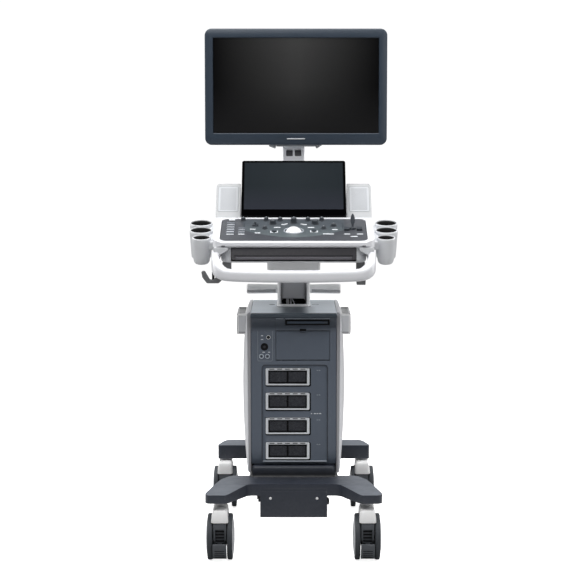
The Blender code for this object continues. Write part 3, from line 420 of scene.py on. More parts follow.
def shaded_lid(name, colour, edge_colour):
    """The lid's plastic with painted light: paler towards the front, with painted shade where its edge turns down and a
    dark painted reflection of the column.
    """
    made, tree, shader = blank(name)
    tint = finish_surface(tree, shader, colour, 0.34, 0.25, 0.0007, 0.0, 0.035)
    place = node(tree, "ShaderNodeSeparateXYZ", {0: node(tree, "ShaderNodeTexCoord").outputs["Object"]})
    # Painted shade: the lid darkens from its front towards its back.
    level = ranged(tree, place.outputs["Y"], 1.0, 0.74, -0.160, 0.165)
    grey = node(tree, "ShaderNodeCombineColor", {0: level, 1: level, 2: level}).outputs[0]
    tint = mixed(tree, 1.0, tint, grey, "MULTIPLY")
    # Painted reflection of the column: a dark patch on the lid in front of its foot.
    aside = node(tree, "ShaderNodeMath", {0: place.outputs["X"]}, operation="ABSOLUTE").outputs[0]
    near = ranged(tree, aside, 0.97, 0.0, 0.022, 0.064)
    ahead = ranged(tree, place.outputs["Y"], 1.0, 0.0, -0.045, 0.010)
    column_reflection = node(tree, "ShaderNodeMath", {0: near, 1: ahead}, operation="MULTIPLY").outputs[0]
    tint = mixed(tree, column_reflection, tint, rgba(edge_colour))
    # Painted shade where the lid's front edge turns down.
    edge = ranged(tree, place.outputs["Y"], 1.0, 0.0, -0.1790, -0.1680)
    tree.links.new(mixed(tree, edge, tint, rgba(edge_colour)), shader.inputs["Base Color"])
    return made


def shaded_base(name, colour, up_colour):
    """The base's plastic, with a painted highlight in patches on the up-facing tops of the legs."""
    made, tree, shader = blank(name)
    tint = finish_surface(tree, shader, colour, 0.42, 0.30, 0.0008, 0.12, 0.05)
    normal = node(tree, "ShaderNodeSeparateXYZ", {0: node(tree, "ShaderNodeNewGeometry").outputs["Normal"]})
    place = node(tree, "ShaderNodeSeparateXYZ", {0: node(tree, "ShaderNodeTexCoord").outputs["Object"]})
    aside = node(tree, "ShaderNodeMath", {0: place.outputs["X"]}, operation="ABSOLUTE").outputs[0]
    # Painted highlight: the up-facing tops of the legs take a paler colour, in patches.
    flat = ranged(tree, normal.outputs["Z"], 0.0, 1.0, 0.75, 0.98)
    patchy = ranged(tree, noise(tree, 22.0, 6.0), 0.75, 1.0)
    legs = node(tree, "ShaderNodeMath", {0: flat, 1: ranged(tree, aside, 0.02, 0.60, 0.10, 0.17)}, operation="MULTIPLY")
    legs = node(tree, "ShaderNodeMath", {0: legs.outputs[0], 1: patchy}, operation="MULTIPLY").outputs[0]
    tint = mixed(tree, legs, tint, rgba(up_colour))
    tree.links.new(tint, shader.inputs["Base Color"])
    return made


def metal(name, colour, roughness, stretch=(1.0, 1.0, 1.0), metallic=1.0, grain=0.3, grain_size=0.0005):
    """Brushed or anodised metal. stretch turns the grain into brush lines across the direction it squeezes."""
    made, tree, shader = blank(name)
    finish_surface(tree, shader, colour, roughness, grain, grain_size, 0.15, 0.04, stretch)
    shader.inputs["Metallic"].default_value = metallic
    return made


def rubber(name, colour, roughness=0.62):
    made, tree, shader = blank(name)
    finish_surface(tree, shader, colour, roughness, 0.45, 0.0009, 0.16, 0.10)
    shader.inputs["Specular IOR Level"].default_value = 0.35
    return made


def paler_facing_up(name, colour, roughness, up_colour, reach):
    """Plastic low on the machine, paler in patches on what faces up."""
    made, tree, shader = blank(name)
    tint = finish_surface(tree, shader, colour, roughness, 0.30, 0.0008, 0.12, 0.05)
    up = node(tree, "ShaderNodeSeparateXYZ", {0: node(tree, "ShaderNodeNewGeometry").outputs["Normal"]})
    # Paler in patches where the surface faces up.
    flat = ranged(tree, up.outputs["Z"], 0.0, reach, 0.6, 1.0)
    patchy = node(tree, "ShaderNodeMath", {0: flat, 1: ranged(tree, noise(tree, 22.0, 6.0), 0.5, 1.0)},
                  operation="MULTIPLY")
    tree.links.new(mixed(tree, patchy.outputs[0], tint, rgba(up_colour)), shader.inputs["Base Color"])
    return made


def display(name, centre, half, dark, light, tint, frame_colour=None, roughness=0.16, shine=0.03):
    """A switched-off display: dark glass with a painted reflection, lighter towards the middle of its upper edge.

    centre and half are (X, Z) of the active area; outside it the glass is frame_colour.
    """
    made, tree, shader = blank(name)
    place = node(tree, "ShaderNodeSeparateXYZ", {0: node(tree, "ShaderNodeTexCoord").outputs["Object"]})
    aside = node(tree, "ShaderNodeMath", {0: place.outputs["X"], 1: centre[0]}, operation="SUBTRACT")
    aside = node(tree, "ShaderNodeMath", {0: aside.outputs[0]}, operation="ABSOLUTE").outputs[0]
    # Painted reflection: the glass is lighter towards the middle of its upper edge and takes the tint low down.
    across_it = ranged(tree, aside, 1.0, 0.0, 0.05 * half[0], half[0])
    up_it = ranged(tree, place.outputs["Z"], 0.35, 1.0, centre[1] - half[1], centre[1] + half[1])
    glow = node(tree, "ShaderNodeMath", {0: across_it, 1: up_it}, operation="MULTIPLY").outputs[0]
    colour = mixed(tree, glow, rgba(dark), rgba(light))
    low = ranged(tree, place.outputs["Z"], 0.8, 0.0, centre[1] - half[1], centre[1])
    colour = mixed(tree, low, colour, rgba(tint))
    rows = node(tree, "ShaderNodeTexWave", {"Vector": node(tree, "ShaderNodeTexCoord").outputs["Object"],
                                            "Scale": 150.0, "Distortion": 0.0}, bands_direction="Z")
    colour = mixed(tree, ranged(tree, rows.outputs["Fac"], 0.0, 0.06, 0.0, 1.0), colour, (0, 0, 0, 1))
    if frame_colour:
        inside_x = node(tree, "ShaderNodeMath", {0: aside, 1: half[0]}, operation="LESS_THAN").outputs[0]
        offset = node(tree, "ShaderNodeMath", {0: place.outputs["Z"], 1: centre[1]}, operation="SUBTRACT")
        offset = node(tree, "ShaderNodeMath", {0: offset.outputs[0]}, operation="ABSOLUTE")
        inside_z = node(tree, "ShaderNodeMath", {0: offset.outputs[0], 1: half[1]}, operation="LESS_THAN")
        inside = node(tree, "ShaderNodeMath", {0: inside_x, 1: inside_z.outputs[0]}, operation="MULTIPLY")
        colour = mixed(tree, inside.outputs[0], rgba(frame_colour), colour)
    tree.links.new(colour, shader.inputs["Base Color"])
    smear = ranged(tree, noise(tree, 14.0, 5.0), roughness * 0.8, roughness * 1.5)
    tree.links.new(smear, shader.inputs["Roughness"])
    shader.inputs["Specular IOR Level"].default_value = shine
    return made


def deck_surface(name, edge_colour, zone_colour, sheen_colour):
    """The control deck's graphite face: a lighter middle zone with a bowed lower edge, and a painted sheen that makes
    it brighter low down.
    """
    made, tree, shader = blank(name)
    finish_surface(tree, shader, edge_colour, 0.36, 0.30, 0.0006, 0.0, 0.03)
    place = node(tree, "ShaderNodeSeparateXYZ", {0: node(tree, "ShaderNodeTexCoord").outputs["Object"]})
    x_square = node(tree, "ShaderNodeMath", {0: place.outputs["X"], 1: place.outputs["X"]}, operation="MULTIPLY")
    bow = node(tree, "ShaderNodeMath", {0: x_square.outputs[0], 1: 3.2, 2: -0.262}, operation="MULTIPLY_ADD")
    below = node(tree, "ShaderNodeMath", {0: place.outputs["Y"], 1: bow.outputs[0]}, operation="SUBTRACT")
    inside = ranged(tree, below.outputs[0], 0.0, 1.0, -0.0008, 0.0008)
    near = node(tree, "ShaderNodeMath", {0: x_square.outputs[0], 1: 0.0193}, operation="LESS_THAN")
    inside = node(tree, "ShaderNodeMath", {0: inside, 1: near.outputs[0]}, operation="MULTIPLY").outputs[0]
    cloud = ranged(tree, noise(tree, 30.0, 4.0), 0.94, 1.06)
    # Painted sheen: the zone grows brighter towards the deck's lower edge.
    bright = ranged(tree, place.outputs["Y"], 1.0, 0.0, -0.270, -0.150)
    zone = mixed(tree, bright, rgba(zone_colour), rgba(sheen_colour))
    shade = mixed(tree, inside, rgba(edge_colour), zone)
    shade = mixed(tree, 1.0, shade, node(tree, "ShaderNodeCombineColor", {0: cloud, 1: cloud, 2: cloud}).outputs[0],
                  "MULTIPLY")
    tree.links.new(shade, shader.inputs["Base Color"])
    return made


def make_looks():
    silver = from_srgb(214, 217, 221)
    shell = from_srgb(226, 227, 231)
    return {
        "base": paler_facing_up("base_plastic", from_srgb(45, 50, 61), 0.42, from_srgb(110, 114, 121), 0.06),
        "body": plastic("body_plastic", from_srgb(92, 101, 114), 0.42),
        "lip": plastic("lip_plastic", from_srgb(66, 74, 83), 0.40),
        "top": plastic("top_plastic", from_srgb(222, 231, 240), 0.34),
        # The lid's second colour is its painted shade and painted reflection.
        "lid": shaded_lid("lid_painted_light", from_srgb(236, 244, 252), from_srgb(60, 70, 80)),
        # The footing's second colour is a painted highlight on the tops of the legs.
        "footing": shaded_base("footing_plastic", from_srgb(45, 50, 61), from_srgb(126, 132, 141)),
        "band": plastic("band_plastic", from_srgb(176, 177, 180), 0.42),
        "pale": plastic("pale_plastic", from_srgb(250, 250, 250), 0.34, grain=0.15, mottle=0.010),
        "apron": plastic("apron_plastic", from_srgb(160, 168, 177), 0.40),
        # Painted shade: the front casing darkens above the lip's start, where its overhang faces down.
        "casing": shaded("casing_painted_shade", from_srgb(92, 101, 114), (1.0, 0.50), (0.596, 0.612)),
        # Painted shade: the plinth darkens towards its foot, where it meets the base.
        "plinth": shaded("plinth_painted_shade", from_srgb(45, 50, 61), (0.22, 1.0), (0.196, 0.216)),
        "groove": plastic("groove_plastic", from_srgb(28, 32, 40), 0.55),
        "shell": plastic("shell_plastic", shell, 0.34, grain=0.18, mottle=0.012, coat=0.15),
        "shell_inset": plastic("inset_plastic", from_srgb(233, 236, 241), 0.40, mottle=0.012),
        "rim": plastic("rim_plastic", from_srgb(160, 160, 164), 0.38),
        "wing": plastic("wing_plastic", from_srgb(186, 188, 190), 0.36, mottle=0.012),
        "wing_inset": plastic("wing_inset_plastic", from_srgb(197, 200, 204), 0.40, mottle=0.012),
        "fine_line": plastic("fine_line_plastic", from_srgb(150, 153, 157), 0.45, worn=0.0),
        "cup": plastic("cup_plastic", from_srgb(216, 218, 221), 0.36, mottle=0.015, coat=0.10),
        "liner": rubber("liner_rubber", from_srgb(10, 10, 12)),
        "silver": metal("silver_paint", silver, 0.32, metallic=0.12, grain=0.12),
        "bright": metal("bright_metal", from_srgb(236, 240, 245), 0.24, metallic=0.45, grain=0.10),
        "steel": metal("turned_steel", from_srgb(178, 181, 184), 0.26, (1.0, 1.0, 40.0)),
        "sheet": metal("plated_sheet", from_srgb(150, 152, 155), 0.42, (1.0, 24.0, 1.0)),
        "mast": plastic("mast_cover", from_srgb(196, 196, 199), 0.40),
        "well": plastic("window_plastic", from_srgb(80, 80, 83), 0.45),
        "dark": plastic("dark_plastic", from_srgb(58, 61, 66), 0.44),
        "black": plastic("black_plastic", from_srgb(9, 10, 13), 0.55, mottle=0.02, worn=0.02, shine=0.12),
        "fork": plastic("fork_plastic", from_srgb(78, 82, 88), 0.46, worn=0.2),
        "cap": plastic("cap_plastic", from_srgb(240, 241, 239), 0.34, grain=0.15, mottle=0.012),
        "disc": plastic("disc_plastic", from_srgb(206, 209, 213), 0.36, mottle=0.02),
        "tyre": rubber("tyre_rubber", from_srgb(60, 64, 69), 0.58),
        # The deck's third colour is its painted sheen.
        "deck": deck_surface("deck_face", from_srgb(62, 65, 71), from_srgb(72, 78, 84), from_srgb(86, 95, 98)),
        "drawer": plastic("drawer_plastic", from_srgb(67, 66, 70), 0.36),
        "drawer_lip": plastic("drawer_lip", from_srgb(88, 87, 93), 0.34),
        "knob": rubber("knob_rubber", from_srgb(46, 52, 59), 0.50),
        "knob_top": plastic("knob_top", from_srgb(66, 72, 79), 0.38),
        "key": plastic("key_plastic", from_srgb(44, 51, 59), 0.36),
        "mark": plastic("mark_print", from_srgb(222, 226, 230), 0.45, worn=0.0),
        "faint_mark": plastic("faint_print", from_srgb(150, 156, 163), 0.45, worn=0.0),
        "ball": plastic("ball_resin", from_srgb(250, 250, 251), 0.12, grain=0.03, worn=0.0, mottle=0.004, coat=0.8),
        "bezel": plastic("bezel_plastic", from_srgb(52, 63, 76), 0.34, grain=0.10, worn=0.0, mottle=0.02),
        "screen": display("monitor_display", (0.0065, 1.275), (0.2375, 0.1354), from_srgb(15, 15, 16),
                          from_srgb(66, 66, 66), from_srgb(36, 36, 37)),
        "touch": display("touch_display", (0.0, 0.994), (0.139, 0.063), from_srgb(36, 41, 45),
                         from_srgb(41, 46, 50), from_srgb(48, 50, 58), from_srgb(2, 2, 3), 0.14, 0.003),
        "hook": plastic("hook_plastic", from_srgb(104, 105, 107), 0.42, worn=0.2),
        "contact": metal("contact_metal", from_srgb(44, 48, 60), 0.44, (30.0, 1.0, 1.0), metallic=0.2, grain=0.2),
        # Painted shade: a greyer copy of the shell's white, for the tub's cheeks and the handle's shoulders.
        "cheek": plastic("cheek_painted_shade", from_srgb(204, 206, 209), 0.38, mottle=0.02),
        "deck_key": plastic("deck_key_plastic", from_srgb(92, 97, 105), 0.34, worn=0.0),
        "paddle": plastic("paddle_plastic", from_srgb(77, 82, 88), 0.30),
    }


# ---------------------------------------------------------------- casters and base


def joint_at(name):
    return Vector(JOINTS[name]["pos_m"])


def caster(name, looks):
    """Twin wheels with rubber tyres and light side discs, on a dark fork under a light cap."""
    axle, swivel = joint_at(f"wheel_spin_{name}"), joint_at(f"caster_swivel_{name}")
    low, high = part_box(f"caster_wheels_{name}")
    radius, half, inner = (high.z - low.z) / 2, (high.x - low.x) / 2, 0.0195
    body, spin = f"fork_{name}", f"wheels_{name}"
    tyres, discs, hubs = [], [], []
    for sign in (-1, 1):
        section = rounded([(radius - 0.009, inner), (radius, inner), (radius, half - 0.0042),
                           (radius - 0.009, half - 0.0042)], [0.001, 0.0050, 0.0040, 0.001], 7)
        tyres.append(turned([(r, sign * d) for r, d in section], "X", axle, 72, ring=True))
        rim = radius - 0.0040
        face = [(0.0, half - 0.0022), (0.0100, half - 0.0022), (0.0112, half - 0.0036), (0.0128, half - 0.0036),
                (0.0142, half - 0.0006), (0.0240, half - 0.0002), (0.0380, half - 0.0012), (rim - 0.008, half - 0.0032),
                (rim - 0.0020, half - 0.0052), (rim, half - 0.0064), (rim, half - 0.0075), (rim - 0.004, inner + 0.010),
                (0.0, inner + 0.010)]
        discs.append(turned([(r, sign * d) for r, d in face], "X", axle, 64))
        web = [(0.0, inner + 0.0005), (0.012, inner + 0.0005), (0.014, inner + 0.004), (rim - 0.014, inner + 0.005),
               (rim - 0.010, inner + 0.001), (rim - 0.003, inner + 0.001), (rim - 0.003, inner + 0.0102), (0.0, inner + 0.0102)]
        hubs.append(turned([(r, sign * d) for r, d in web], "X", axle, 56))
    hubs.append(rod(0.0055, "X", -inner - 0.002, inner + 0.002, axle))
    piece(f"tyres_{name}", merge(*tyres), looks["tyre"], spin, [f"caster_wheels_{name}"])
    piece(f"wheel_discs_{name}", merge(*discs), looks["disc"], spin)
    piece(f"wheel_hubs_{name}", merge(*hubs), looks["dark"], spin)
    x, y = swivel.x, swivel.y
    side = [(y - 0.066, 0.062), (y - 0.050, 0.040), (y - 0.012, 0.040), (y + 0.026, 0.096), (y + 0.026, 0.128),
            (y - 0.060, 0.128), (y - 0.068, 0.100)]
    fork = prism(rounded(side, 0.007, 6), "X", x - 0.0172, x + 0.0172)
    recess = prism(rounded([(y - 0.080, 0.045), (y - 0.052, 0.045), (y - 0.052, 0.0885), (y - 0.080, 0.0935)], 0.003, 4),
                   "X", x - 0.0125, x + 0.0125)
    fork = cut(fork, recess, rod(0.0062, "X", x - 0.03, x + 0.03, (0.0, axle.y, axle.z)))
    piece(f"fork_block_{name}", fork, looks["fork"], body, [f"caster_fork_{name}"], bevel=0.0012)
    caster_cap(name, x, y, looks)
    ribs = [box((x - 0.0115, y - 0.0535, 0.048 + 0.0085 * k), (x + 0.0115, y - 0.0512, 0.0510 + 0.0085 * k)) for k in range(5)]
    piece(f"fork_ribs_{name}", merge(*ribs), looks["black"], body, bevel=0.0005)
    if name.startswith("front"):
        brake(name[6:], axle, looks)


def caster_cap(name, x, y, looks):
    """The light hood over the fork, its collar and the swivel bearing's steel race."""
    body = f"fork_{name}"
    top = under_base(y) - 0.0015
    outline = rect(x - 0.0230, x + 0.0230, y - 0.070, y + 0.028, 0.008, 8)
    rings = []
    for z, shrink in ((0.1095, 0.0014), (0.1103, 0.0004), (0.1118, 0.0), (0.1290, 0.0016), (0.1390, 0.0036),
                      (0.1425, 0.0058), (0.1440, 0.0095)):
        rings.append([(px, py, z) for px, py in inset(outline, shrink)])
    hood = cut(loft(rings), box((x - 0.0176, y - 0.0620, 0.090), (x + 0.0176, y + 0.040, 0.1270)))
    piece(f"caster_hood_{name}", hood, looks["pale"], body)
    collar = [(0.0, 0.140), (0.0195, 0.140), (0.0195, 0.1440), (0.0178, 0.1452), (0.0165, 0.1460), (0.0165, top),
              (0.0, top)]
    piece(f"caster_collar_{name}", turned(collar, "Z", (x, y, 0), 56), looks["pale"], body)
    race = [(0.0, top - 0.0035), (0.0182, top - 0.0035), (0.0187, top - 0.003), (0.0187, top - 0.001),
            (0.0182, top - 0.0005), (0.0, top - 0.0005)]
    piece(f"caster_race_{name}", turned(race, "Z", (x, y, 0), 56), looks["steel"], body)


def brake(side, axle, looks):
    """The curved tread plate, with grip ribs along its lower edge."""
    body = f"pedal_{side}"
    outer, inner = [], []
    for k in range(19):
        turn = math.radians(186 + 45 * k / 18)
        for line, radius in ((outer, 0.0665), (inner, 0.0612)):
            line.append((axle.y + radius * math.cos(turn), axle.z + radius * math.sin(turn)))
    plate = prism(outer + inner[::-1], "X", axle.x - 0.0186, axle.x + 0.0186)
    piece(f"brake_plate_{side}", plate, looks["fork"], body, [f"brake_pedal_{side}"], bevel=0.0010)
    ribs = []
    for k in range(4):
        turn = math.radians(203 + 7 * k)
        middle = (axle.y + 0.0664 * math.cos(turn), axle.z + 0.0664 * math.sin(turn))
        ribs.append(rod(0.0010, "X", axle.x - 0.0135, axle.x + 0.0135, (0.0, *middle), 0.0003, 16))
    piece(f"brake_ribs_{side}", merge(*ribs), looks["black"], body)
    lug = prism(rounded([(axle.y - 0.0620, 0.040), (axle.y - 0.052, 0.034), (axle.y - 0.043, 0.044),
                         (axle.y - 0.046, 0.055), (axle.y - 0.0620, 0.052)], 0.003, 4), "X", axle.x - 0.006, axle.x + 0.006)
    piece(f"brake_lug_{side}", lug, looks["dark"], body, bevel=0.0008)


LEG_START, LEG_END, LEG_DROP, LEG_RISE = -0.250, -0.366, 0.005, 0.004
BASE_TOP, BASE_UNDER, REAR_UNDER = 0.190, 0.158, 0.149


def leg_drop(y):
    along = min(1.0, max(0.0, (LEG_START - y) / (LEG_START - LEG_END)))
    return LEG_DROP * along * (0.55 + 0.45 * along)


def under_base(y):
    rear = min(1.0, max(0.0, (y - 0.250) / 0.040))
    return BASE_UNDER + leg_drop(y) * LEG_RISE / LEG_DROP - (BASE_UNDER - REAR_UNDER) * rear


def base_outline():
    right = [(0.125, -0.252), (0.172, -0.350), (0.183, LEG_END), (0.229, LEG_END), (0.2380, -0.350),
             (0.2235, -0.289), (0.2015, -0.188), (0.178, -0.146), (0.165, -0.139), (0.118, -0.139),
             (0.118, 0.292), (0.229, 0.292), (0.2305, 0.305), (0.2146, 0.362), (0.204, 0.3826)]
    radii = [0.022, 0.030, 0.008, 0.010, 0.016, 0.200, 0.060, 0.020, 0.018, 0.010, 0.012, 0.006, 0.010, 0.020, 0.014]
    points = right + [(-x, y) for x, y in reversed(right)]
    return rounded(points, radii + radii[::-1], 8)


def base_cover(looks):
    """The footed base: a thick moulded slab with softly rounded upper edges, and the plinth on it."""
    outline = base_outline()
    slab = prism(outline, "Z", 0.0, 1.0)
    slices(slab, "Y", [LEG_START - 0.0145 * k for k in range(8)] + [0.250, 0.264, 0.278, 0.290])
    tops = {v for v in slab.verts if v.co.z > 0.5}
    for vert in slab.verts:
        y = vert.co.y
        vert.co.z = BASE_TOP - leg_drop(y) if vert in tops else under_base(y)
    is_top = lambda e: e.verts[0] in tops and e.verts[1] in tops
    soften(slab, 0.0075, 5, 0.9, is_top)
    piece("base_shell", slab, looks["footing"], "base", ["base_cover"], sharp=32)
    rings = []
    plinth = rect(-0.1175, 0.1175, -0.158, 0.1705, 0.012, 8)
    for z, shrink in ((BASE_TOP - 0.004, -0.0060), (BASE_TOP + 0.0008, -0.0030), (BASE_TOP + 0.0035, -0.0008),
                      (BASE_TOP + 0.008, 0.0), (0.2115, 0.0), (0.2160, 0.0012), (0.2195, 0.0036), (0.2213, 0.0070),
                      (0.2219, 0.0110)):
        rings.append([(x, y, z) for x, y in inset(plinth, shrink)])
    piece("plinth", loft(rings), looks["plinth"], "base", sharp=50)


def power_module(looks):
    """The supply box under the base: a flanged cover, two screws, an inlet on one side, a breaker on the other."""
    low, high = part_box("power_module")
    left, right = low.x + 0.0096, high.x - 0.0064
    face = -0.2522
    front = cut(box((left, face, low.z), (right, high.y, 0.1800)),
                box((left + 0.004, face - 0.01, 0.1695), (right - 0.004, face + 0.0012, 0.1710)))
    piece("module_cover", front, looks["base"], "base", ["power_module"], bevel=0.0012)
    step = [box((low.x, -0.215, 0.140), (left + 0.002, -0.060, 0.1550)),
            box((low.x + 0.003, -0.205, 0.130), (left + 0.002, -0.070, 0.1420)),
            box((right - 0.002, -0.230, 0.1285), (high.x - 0.0012, -0.198, 0.1420))]
    piece("module_flanges", merge(*step), looks["dark"], "base", bevel=0.0010)
    rocker = box((high.x - 0.0014, -0.224, 0.1310), (high.x, -0.204, 0.1395))
    piece("breaker_rocker", rocker, looks["black"], "base", bevel=0.0004)
    screws = []
    for x in (-0.0637, 0.0637):
        screws.append(screw_head((x, face - 0.0002, 0.151), 0.0038))
    piece("module_screws", merge(*screws), looks["pale"], "base")
    ribs = [box((left + 0.012 + 0.012 * k, -0.20, low.z - 0.0004), (left + 0.017 + 0.012 * k, 0.08, low.z + 0.001))
            for k in range(14)]
    piece("module_vents", merge(*ribs), looks["black"], "base", bevel=0.0003)


def screw_head(centre, radius):
    """A domed screw head that faces the front, with a cross recess."""
    head = turned([(0.0, 0.0), (radius, 0.0), (radius, 0.0006), (0.8 * radius, 0.0013), (0.4 * radius, 0.0017),
                   (0.0, 0.0018)], "Z", steps=28)
    bars = [box((-0.62 * radius, -0.14 * radius, 0.0009), (0.62 * radius, 0.14 * radius, 0.003)),
            box((-0.14 * radius, -0.62 * radius, 0.0009), (0.14 * radius, 0.62 * radius, 0.003))]
    return moved(cut(head, *bars), basis(centre, X_AXIS, Z_AXIS, -Y_AXIS))


# ---------------------------------------------------------------- cabinet

PORT_SIDE, PORT_FLOOR, PORT_HEAD = 0.007, 0.004, 0.006  # widths of a port's silver frame


def front_profile():
    """The front cover's face from its tucked-in foot to the overhanging lip, as (Y, Z)."""
    foot = smooth([(-0.1400, 0.2240), (-0.1478, 0.2400), (-0.1518, 0.2640), (-0.1525, 0.3000)], 5)
    lip = smooth([(-0.1525, 0.5950), (-0.1542, 0.6045), (-0.1630, 0.6150), (-0.1750, 0.6270), (-0.1822, 0.6380)], 6)
    return [tuple(p) for p in foot + lip] + [(-0.1822, 0.6396)]


def front_cover(looks):
    """The front casing with its openings; its side edges are rounded towards the side covers."""
    outer = front_profile()
    inner = [(y + 0.004, z) for y, z in reversed(outer)]
    half = 0.1185
    rings = []
    for x, back in ((-half, 0.0030), (-half + 0.0006, 0.0014), (-half + 0.0018, 0.0004), (-half + 0.0035, 0.0),
                    (half - 0.0035, 0.0), (half - 0.0018, 0.0004), (half - 0.0006, 0.0014), (half, 0.0030)):
        rings.append([(x, y + back, z) for y, z in outer] + [(x, y, z) for y, z in inner])
    shell = loft(rings)
    window = prism(rect(-0.0890, 0.0950, 0.2300, 0.5050, 0.0110), "Y", -0.20, -0.10)
    bay = prism(rect(-0.0502, 0.1002, 0.5163, 0.6007, 0.0020), "Y", -0.20, -0.10)
    slot = prism(rect(-0.0240, 0.0992, 0.6170, 0.6346, 0.0008), "Y", -0.20, -0.10)
    shell = cut(shell, window, bay, slot)
    piece("front_casing", shell, looks["casing"], "base", ["front_cover"], sharp=28)
    rim = frame_strip(rect(-0.0890, 0.0950, 0.2300, 0.5050, 0.0110), -0.1529, 0.0016, 0.0022)
    piece("port_window_rim", rim, looks["groove"], "base")
    ledge = rect(-0.0865, 0.0925, 0.2312, 0.2352, 0.0018)
    piece("port_ledge", moved(pillow(ledge, 0.0, 0.0040, 0.0017), front_plane(-0.1494)), looks["apron"], "base")
    seam_light = [box((-0.0490, -0.1828, 0.6366), (-0.0280, -0.1800, 0.6376)),
                  box((-0.0235, -0.1828, 0.6366), (0.0995, -0.1800, 0.6374))]
    piece("drive_highlight", merge(*seam_light), looks["apron"], "base", bevel=0.0003)
    lip = [(y, z) for y, z in front_profile() if z > 0.598]
    seam = prism([(y - 0.0002, z) for y, z in lip] + [(y + 0.001, z) for y, z in reversed(lip)], "X", -0.0513, -0.0506)
    piece("drive_seam", seam, looks["groove"], "base")


def frame_strip(outline, y, width, depth):
    """A thin picture-frame strip that follows this outline in X and Z, its face at depth y."""
    rings = []
    for shrink, back in ((0.0, depth), (0.0, 0.0003), (0.0003, 0.0), (width - 0.0003, 0.0), (width, 0.0003), (width, depth)):
        rings.append([(x, y + back, z) for x, z in inset(outline, shrink)])
    return loft(rings, closed=True)


def top_cover(looks):
    """The cabinet's lid: crowned edges, a socket for the column and two oval recess marks beside it."""
    section = smooth([(-0.1826, 0.6400), (-0.1855, 0.6440), (-0.1846, 0.6488), (-0.1790, 0.6514), (-0.1700, 0.6520)], 4)
    rear = smooth([(0.1520, 0.6520), (0.1620, 0.6510), (0.1682, 0.6465), (0.1695, 0.6400)], 4)
    profile = [tuple(p) for p in section + rear]
    half = 0.1185
    rings = []
    for x, fall in ((-half, 0.0026), (-half + 0.0008, 0.0011), (-half + 0.0024, 0.0002), (-half + 0.004, 0.0),
                    (half - 0.004, 0.0), (half - 0.0024, 0.0002), (half - 0.0008, 0.0011), (half, 0.0026)):
        rings.append([(x, y, z - fall * min(1.0, (z - 0.640) / 0.0035)) for y, z in profile])
    lid = cut(loft(rings), box((-0.0355, -0.0180, 0.600), (0.0355, 0.0680, 0.700)))
    piece("cabinet_lid", lid, looks["lid"], "base", ["top_cover"], sharp=28)
    ovals = []
    for x, size in ((-0.0618, 0.0088), (0.0618, 0.0100)):
        turns = [math.tau * k / 40 for k in range(40)]
        ovals.append([(x + size * math.cos(t), 0.028 + 0.80 * size * math.sin(t)) for t in turns])
    plug = pillow(ovals[0], 0.6512, 0.6524, 0.0004)
    piece("lid_plug", plug, looks["lip"], "base")
    ring = loft([[(x, y, z) for x, y in inset(ovals[1], shrink)]
                 for shrink, z in ((0.0, 0.6512), (0.0, 0.6523), (0.0012, 0.6523), (0.0012, 0.6512))], closed=True)
    piece("lid_ring", ring, looks["lip"], "base")


def side_face(y, z):
    """How far out a side cover's face is: least at its rim, most in the middle of its height."""
    up = min(1.0, max(0.0, (z - 0.170) / (0.652 - 0.170)))
    along = min(1.0, max(0.0, (y + 0.150) / 0.318))
    return 0.1260 + 0.0040 * up + 0.0165 * (math.sin(math.pi * up) * math.sin(math.pi * along)) ** 0.6


def side_cover(side, sign, looks):
    """A pale bulging shell, rounded at its edge, with a grey rim strip at the front."""
    inner_x = 0.1192
    heights = [0.2005, 0.2013, 0.2030] + [0.2060 + 0.4365 * k / 36 for k in range(37)]
    heights += [0.6460, 0.6484, 0.6501, 0.6512, 0.6515]
    tucks = {0: 0.0034, 1: 0.0014, 2: 0.0004, 40: 0.0004, 41: 0.0012, 42: 0.0026, 43: 0.0046, 44: 0.0066}
    depths = [-0.1500 + 0.318 * (1 - math.cos(math.pi * k / 36)) / 2 for k in range(37)]
    rings = []
    for row, z in enumerate(heights):
        tuck = tucks.get(row, 0.0)
        outer = []
        for k, y in enumerate(depths):
            edge = 0.0018 if k in (0, 36) else 0.0005 if k in (1, 35) else 0.0
            outer.append((sign * (side_face(y, z) - tuck - edge), y, z))
        inner = [(sign * inner_x, y, z) for y in reversed(depths)]
        rings.append(outer + inner)
    piece(f"side_casing_{side}", loft(rings), looks["shell"], "base", [f"side_cover_{side}"], sharp=40)
    rows = [0.2010 + 0.4440 * k / 30 for k in range(31)]
    edge = [(sign * (side_face(-0.15, z) - 0.0012), z) for z in rows]
    edge += [(sign * 0.1242, 0.6500), (sign * 0.1192, 0.6505)] + [(sign * 0.1192, z) for z in reversed(rows)]
    piece(f"side_rim_{side}", prism(edge, "Y", -0.1516, -0.1492), looks["rim"], "base", bevel=0.0007)
    low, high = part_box(f"side_tray_{side}")
    side_tray(side, sign, low, high, looks)


